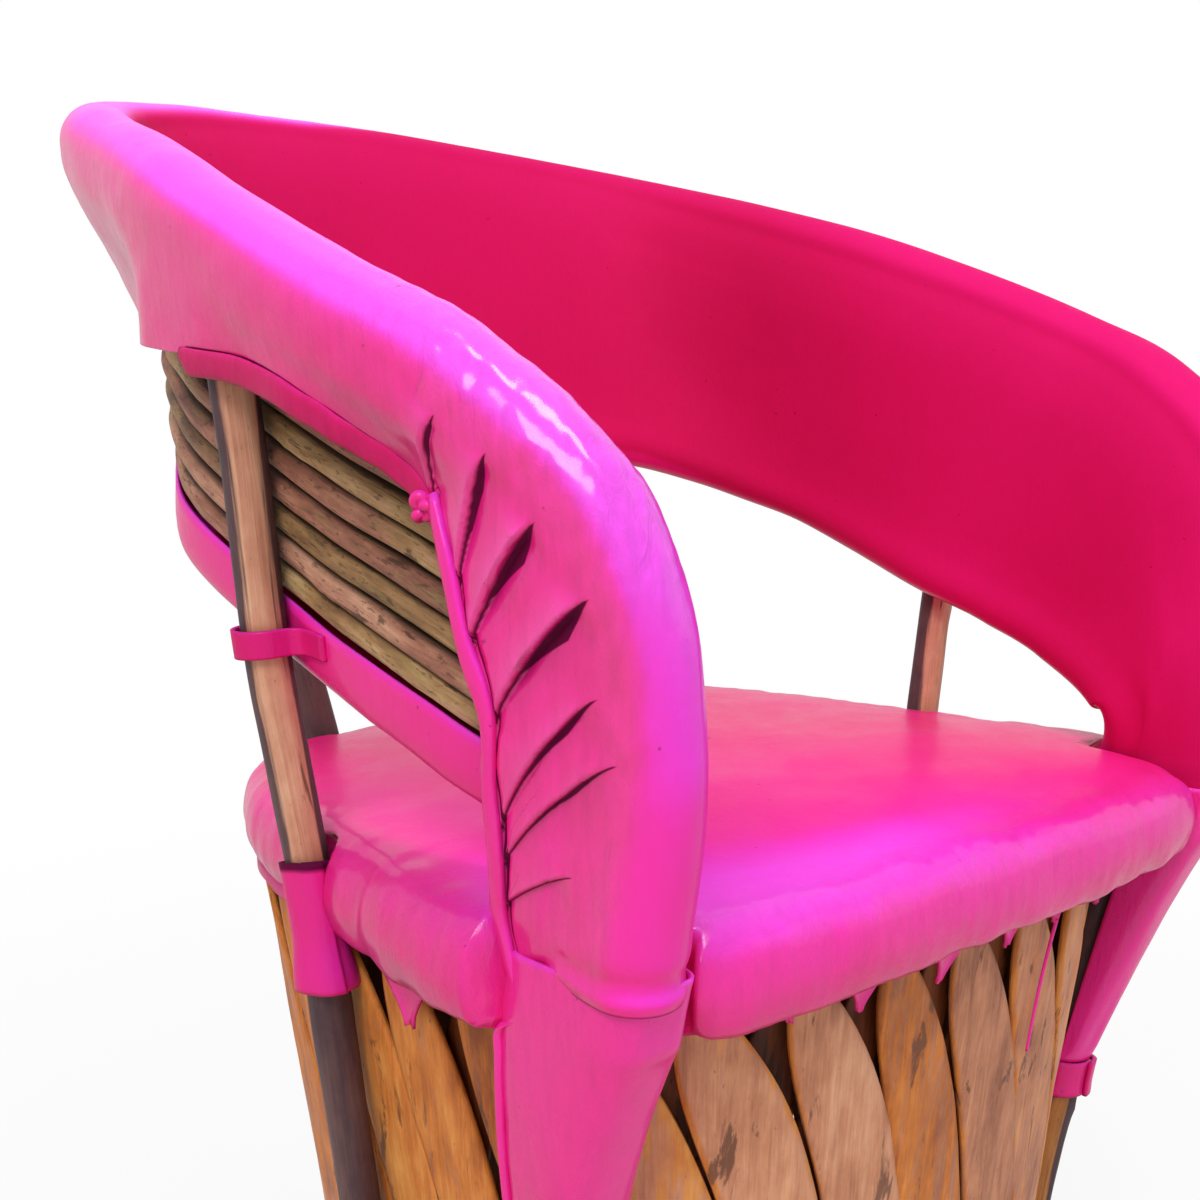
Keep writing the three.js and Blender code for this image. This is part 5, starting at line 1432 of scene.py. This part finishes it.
seatRings, seatSteps, seatAngles = seatCushion()
seatNormals = gridNormals(seatRings, True)
if seatNormals[-3, :, 2].mean() < 0:
    seatNormals = -seatNormals
seatRow = seatSteps[:, None]
sideBand = ease(seatRow, 2.5, 4) * (1 - ease(seatRow, 8, 9.6))
puckerBand = ease(seatRow, 2.2, 3) * (1 - ease(seatRow, 3.4, 5.6))
pucker = np.sin(seatAngles * 46 + 3 * np.sin(seatAngles * 5)) * (0.6 + 0.4 * np.sin(seatAngles * 11 + 1))
seatRelief = 1.2 * waves(seatRings, 190, 9, 3) * ease(seatRow, 4, 6)
seatRelief = seatRelief + sideBand * 1.1 * waves(seatRings * np.array([1, 1, 0.35]), 55, 17, 3)
seatRelief = seatRelief + 0.8 * pucker * puckerBand
seatShape = seatRings + seatNormals * seatRelief[..., None]

# The leather's lower edge is cut by hand, so it wanders
hemBand = ease(seatRow, 1.5, 2) * (1 - ease(seatRow, 3, 5))
roundHem = np.stack([seatAngles * seat["hemRadius"], seatAngles * 0, seatAngles * 0], -1)
seatShape[..., 2] -= hemBand * (1.6 + 2.0 * waves(roundHem, 110, 31, 3))


def madeRoom(shape):
    # the cushion gives way to the arms' feet and to the posts that stand in its edge
    room = np.array(shape)
    front, free = seat["armFront"]
    forward, aside, soft = -room[..., 1], np.abs(room[..., 0]), seat["softEdge"]
    limit = mixed(400, seat["armInner"] + 14 * ease(forward, 222, 236), ease(forward, -free, -front))
    over = np.maximum(0, aside - limit + soft) / soft
    room[..., 0] = np.sign(room[..., 0]) * np.where(over > 0, limit - soft * np.exp(-over), aside)
    for kind in ("side_post", "back_post"):
        for _, side in sides:
            centre, way = postAt(mirrorX(postCurves[kind], side), room[..., 2].ravel())
            centre = centre.reshape(room.shape)
            away = room[..., :2] - centre[..., :2]
            gap = np.linalg.norm(away, axis=-1)
            inward = -unit(centre[..., :2])
            push = np.maximum(0, seat["notch"] + 4 * np.exp(-(gap / 22) ** 2) - gap)
            push = np.where(gap < seat["notchReach"], push, 0)
            room[..., :2] += push[..., None] * inward * 1.15
    return room


seatShape = madeRoom(seatShape)
x, y = seatShape[..., 0], seatShape[..., 1]
# Painted light and shade on the seat: darker toward the back and the sides, lighter near the front-left, and
# a painted highlight band along the front edge
nearLeftLight = ease(-(x * 0.6 + y * 0.8), -60, 230)
frontShine = np.exp(-((seatRow - 8.8) / 1.3) ** 2) * ease(-y, 40, 200) * ease(-x, -200, 150)
seatPaintedLight = mixed(-0.55, -0.26, nearLeftLight) * ease(seatRow, 6.5, 9) - 0.14 * sideBand + 0.36 * frontShine
# The cushion's underside is darkened, painted shade under the seat
seatUnderShade = 0.8 * (1 - ease(seatRow, 1.2, 1.7))


def withMiddles(values, below, above):
    # values ring by ring, then those of the two middle points that close the cushion
    return np.concatenate([np.broadcast_to(values, seatShape.shape[:2]).ravel(), [below, above]])


seatObject = leatherPiece(
    "seatCushion", closedTube(seatShape), "seat_leather", ["seat_cushion"], seatLeather,
    glow=withMiddles(seatPaintedLight, 0, -0.2), crease=withMiddles(seatUnderShade, 1, 0),
    wrinkle=withMiddles(0.12 + 0.5 * sideBand, 0, 0))
print("cushion ready")

# Leather tabs at the hem, and a thong that hangs from it

# Tabs seen in the photograph: turn round the drum in degrees, drop and width in millimetres
tabs = {
    "seen": [(194, 36, 44), (238, 14, 18), (248.5, 19, 22), (263, 20, 22), (275.5, 15, 18)],
    "wall": 2.2, "out": 4.6, "overlap": 7, "narrowing": 0.85, "hemRadius": 235, "rows": 12, "columns": 13,
    "firstTurn": 287, "lastTurn": 488, "pitch": 15.2,
}


def hemTab(turn, drop, width, seed):
    down = np.linspace(0, 1, tabs["rows"])[:, None]
    across = np.linspace(-1, 1, tabs["columns"])[None, :]
    narrowing = 1 - tabs["narrowing"] * ease(down, 0.1, 1.0)
    halfAngle = across * narrowing * width / 2 / tabs["hemRadius"]
    angle = np.radians(turn) + halfAngle + 0.02 * down * math.sin(seed * 1.7)
    height = hemHeight + tabs["overlap"] - (drop + tabs["overlap"]) * down + 1.0 * np.cos(across * 3 + seed)
    curl = 1.2 * across ** 2 + 2.4 * (1 - down) + 1.5 * down ** 2 * math.cos(seed)
    shells = [drumPoint(angle, height, tabs["out"] + curl + offset) for offset in (tabs["wall"], 0)]
    return closedShell(*shells)


tabDice = random.Random(7)
tabPlaces = list(tabs["seen"])
for turn in np.arange(tabs["firstTurn"], tabs["lastTurn"], tabs["pitch"]).tolist():
    tabPlaces.append((turn + tabDice.uniform(-3, 3), tabDice.uniform(10, 20), tabDice.uniform(15, 23)))
tabBlocks = [hemTab(turn % 360, drop, width, seed) for seed, (turn, drop, width) in enumerate(tabPlaces)]
leatherPiece("hemTabs", joined(tabBlocks), "strap_leather", wrinkle=0.5, glow=-0.06)

# The thong's radius and drop are in millimetres; its length and mean width in metres
thong = {
    "turn": 289, "sweep": 3.5, "drop": 96, "radius": 1.3, "taper": 0.3, "length": 0.098, "width": 0.0021,
}
thongShare = np.linspace(0, 1, 40)
thongTurn = thong["turn"] - thong["sweep"] * thongShare
thongHeight = hemHeight + 4 - thong["drop"] * thongShare
thongPath = drumPoint(np.radians(thongTurn), thongHeight, 5.5 - 1.5 * np.sin(thongShare * np.pi))
thongRadii = thong["radius"] * (1 - thong["taper"] * thongShare)
thongRings, _ = tubeRings(thongPath, thongRadii, 10, 5, rough=0.1, upright=True)
hemThong = leatherPiece("hemThong", closedTube(thongRings), "strap_leather", wrinkle=0.3, glow=-0.1)
print("hem ready")

# Carried-over pieces

carriedOver = {
    "floor_hoop": hoopWood, "foot_binding_hoop": hoopWood, "seat_hoop": hoopWood, "seat_deck": reedWood,
}
for nodeName, material in carriedOver.items():
    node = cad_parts[nodeName]
    node.data.materials.clear()
    node.data.materials.append(material)
